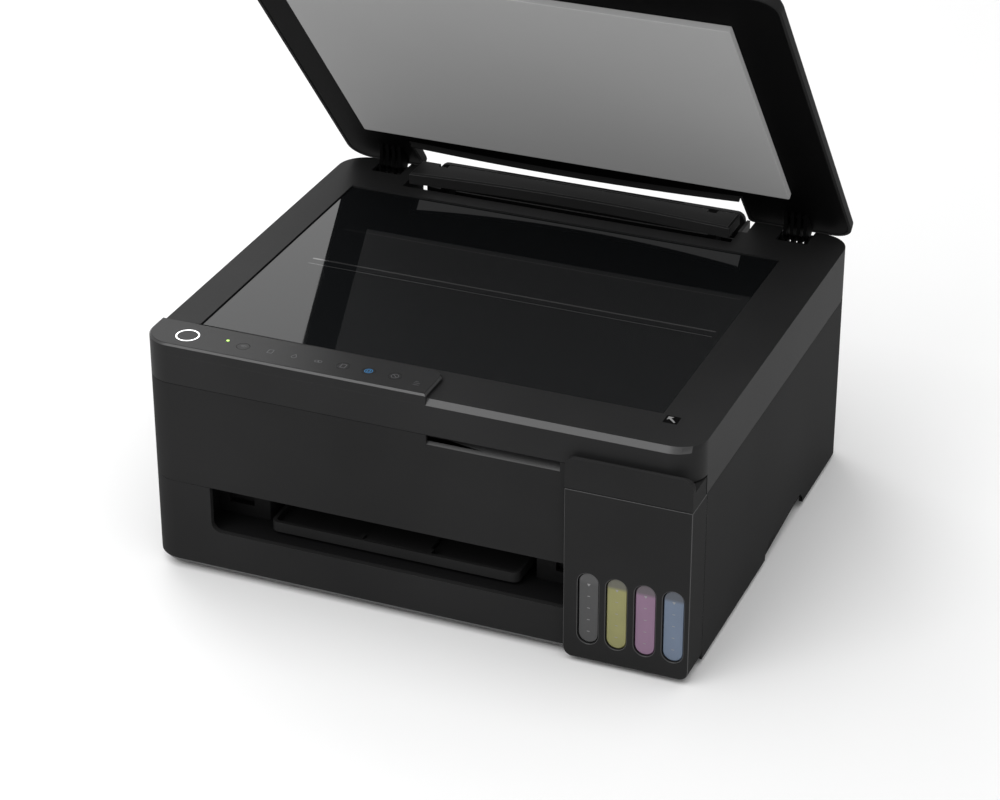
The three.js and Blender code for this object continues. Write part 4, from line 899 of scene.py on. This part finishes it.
def lid_shell():
    wall = 2
    profile = [(LID_LOW + rise, inset) for rise, inset in LID_SHOULDER]
    shell = loft("lid_shell_skin", [(z, lid_plan(inset)) for z, inset in profile])
    under = [(z - wall, lid_plan(inset + wall)) for z, inset in profile[1:]]
    cut(shell, loft("room", [(LID_LOW - 3, lid_plan(wall))] + under))
    lip_outer = bow(NOTCH_LEFT, NOTCH_RIGHT, LID_REAR, LID_BOW)
    lip_inner = bow(NOTCH_LEFT, NOTCH_RIGHT, LID_REAR - wall, LID_BOW)
    join(shell, prism("lip", lip_inner + lip_outer[::-1], "z", 163.4, LID_LOW + 1))
    soften(shell, 0.5)
    open_lid(shell)
    dress(shell, CASE_MAT, "lid", "case_plastic", "lid_shell")


def lid_panel():
    plate = prism("lid_panel_plate", lid_plan(2.3), "z", LID_LOW + 0.3, LID_LOW + 2.7)
    soften(plate, 0.3)
    open_lid(plate)
    dress(plate, LID_INNER_MAT, "lid", "inner_plastic", "lid_panel")
    side = (
        [(292.5, LID_LOW + 1), (299.9, LID_LOW - 4.5), (305.5, HINGE_Z - 2.5)]
        + arc(HINGE_Y, HINGE_Z, 4.2, 215, 360, 10)
        + [(DEPTH - 3.5, LID_LOW - 4), (DEPTH - 3.5, LID_LOW + 1)]
    )
    width, rib, count = 16.4, 2.4, 4
    pitch = (width - rib) / (count - 1)
    for name in ("left", "right"):
        middle = centre(Span("hinge_post_" + name))[0]
        ribs = []
        for i in range(count):
            x0 = middle - width / 2 + i * pitch
            ribs.append(prism("rib", side, "x", x0, x0 + rib))
        arm = ribs[0]
        arm.name = "hinge_arm_" + name
        web = block("web", middle - 8, middle + 8, 297, DEPTH - 4, LID_LOW - 1.2, LID_LOW + 0.9)
        join(arm, *ribs[1:], web)
        cut(arm, rod("bore", "x", HINGE_Y, HINGE_Z, 2.5, middle - 20, middle + 20, 24))
        soften(arm, 0.35)
        open_lid(arm)
        dress(arm, LID_INNER_MAT, "lid", "inner_plastic")


def document_mat():
    outline = rounded(-HALF + 27.5, HALF - 35.5, 40.3, DEPTH - 55.7, 1.2, 6)
    pad = prism("document_mat_pad", outline, "z", LID_LOW - 4.5, LID_LOW + 0.25)
    soften(pad, 0.8, 3)
    open_lid(pad)
    dress(pad, MAT_MAT, "lid", "document_mat", "document_mat")


# ---------------------------------------------------------------- rear feeder


def feeder_guard():
    low, top, back, chamfer = 162.2, GUARD.z1, 311.5, 1.2
    barrel_y, barrel_z, barrel_radius = 312, 161.5, 2.4

    def plan(inset):
        front = bow(GUARD.x0 + inset, GUARD.x1 - inset, GUARD.y0 + inset, 5.8)
        return front + [(GUARD.x1 - inset, back - inset), (GUARD.x0 + inset, back - inset)]

    bar = loft("feeder_guard_bar", [(low, plan(0)), (top - chamfer, plan(0)), (top, plan(chamfer))])
    cut(bar, *[block("ear_room", x - 3.7, x + 3.7, 305.8, 320, 150, 180) for x in (-109, 91)])
    join(bar, rod("barrel", "x", barrel_y, barrel_z, barrel_radius, GUARD.x0 + 2, GUARD.x1 - 2, 24))
    soften(bar, 0.3, edge=True)
    dress(bar, CASE_MAT, "feeder_guard", "case_plastic", "feeder_guard")


def refine(node, material):
    """A CAD piece with its flat facets joined and its edges rounded."""
    source = frame["nodes"][node]
    piece = bpy.data.objects.new(node + "_piece", source.data.copy())
    bpy.context.scene.collection.objects.link(piece)
    bm = bmesh.new()
    bm.from_mesh(piece.data)
    bmesh.ops.remove_doubles(bm, verts=bm.verts, dist=0.005 * MM)
    bmesh.ops.dissolve_limit(bm, angle_limit=math.radians(1.0), verts=bm.verts, edges=bm.edges)
    bmesh.ops.recalc_face_normals(bm, faces=bm.faces)
    bm.to_mesh(piece.data)
    bm.free()
    soften(piece, 0.35)
    slot = next(s["material_slot"] for s in frame["record"]["subparts"] if s["node"] == node)
    return dress(piece, material, source["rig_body"], slot, node)


REFINED = {
    CASE_MAT: ("paper_stop", "tray_extension", "paper_support", "support_extension"),
    INNER_MAT: (
        "rear_feeder", "edge_guide_left", "edge_guide_right", "scanner_tub", "cis_carriage",
        "hinge_post_left", "hinge_post_right", "carriage", "platen", "power_supply",
    ),
    STEEL_MAT: (
        "chassis_left", "chassis_right", "carriage_rail", "print_head", "feed_roller", "feed_motor",
        "carriage_motor",
    ),
    RUBBER_MAT: (
        "foot_front_left", "foot_front_right", "foot_rear_left", "foot_rear_right", "exit_roller",
        "pickup_roller", "timing_belt",
    ),
    GEAR_MAT: ("feed_gear", "idler_gear", "exit_gear", "motor_pinion", "carriage_pulley"),
    BOARD_MAT: ("main_board",),
}


# ---------------------------------------------------------------- build

lower_case()
main_housing()
tank_housing()
tank_cover()
for ink_name, tank_span in INK_TANKS.items():
    ink_tank(ink_name, tank_span)
    refine("tank_cap_" + ink_name, bpy.data.materials["ink_" + ink_name])
tray_bay()
output_tray()
scanner_bezel()
control_panel()
buttons()
panel_icons()
glass_unit()
lid_shell()
lid_panel()
document_mat()
feeder_guard()
for finish_material, node_names in REFINED.items():
    for node_name in node_names:
        refine(node_name, finish_material)

# ---------------------------------------------------------------- floor, light and camera

FLOOR_SIZE = 12.0
bpy.ops.mesh.primitive_plane_add(size=FLOOR_SIZE, location=(0, 0, -0.0002))
floor = bpy.context.object
floor.name = "floor"
floor_material, _, _, floor_shader = new_material("floor_white")
floor_shader.inputs["Base Color"].default_value = (0.93, 0.93, 0.93, 1)
floor_shader.inputs["Roughness"].default_value = 0.6
floor.data.materials.append(floor_material)

world = bpy.data.worlds.new("studio")
bpy.context.scene.world = world
world.use_nodes = True
background = world.node_tree.nodes["Background"]
background.inputs["Color"].default_value = (1, 1, 1, 1)
background.inputs["Strength"].default_value = 0.42


def area_light(name, position, target, size, power):
    data = bpy.data.lights.new(name, "AREA")
    data.shape = "RECTANGLE"
    data.size, data.size_y = size
    data.energy = power
    light = bpy.data.objects.new(name, data)
    light.location = position
    light.rotation_euler = (Vector(target) - Vector(position)).to_track_quat("-Z", "Y").to_euler()
    bpy.context.scene.collection.objects.link(light)


area_light("top_softbox", (0.0, -0.6, 3.4), (0, 0, 0.1), (5.0, 5.0), 105)
area_light("back_softbox", (-2.32, 2.33, 1.85), (-0.15, 0.0, 0.16), (2.2, 2.0), 36)
area_light("front_softbox", (-1.05, -2.2, 2.05), (0, 0, 0.1), (2.0, 2.0), 26)

CAMERA_AT = place(673.43, -1483.83, 1044.36)
CAMERA_YAW, CAMERA_PITCH, CAMERA_ROLL = 22.44, -28.52, -0.07
LENS_MM = 108.76

camera_data = bpy.data.cameras.new("camera")
camera = bpy.data.objects.new("camera", camera_data)
bpy.context.scene.collection.objects.link(camera)
camera.location = CAMERA_AT
camera.rotation_euler = (
    Matrix.Rotation(math.radians(CAMERA_YAW), 3, "Z")
    @ Matrix.Rotation(math.radians(90 + CAMERA_PITCH), 3, "X")
    @ Matrix.Rotation(math.radians(CAMERA_ROLL), 3, "Z")
).to_euler()
camera_data.lens = LENS_MM
camera_data.sensor_width = 36
camera_data.clip_end = 50
bpy.context.scene.camera = camera
bpy.context.scene.view_settings.view_transform = "Standard"
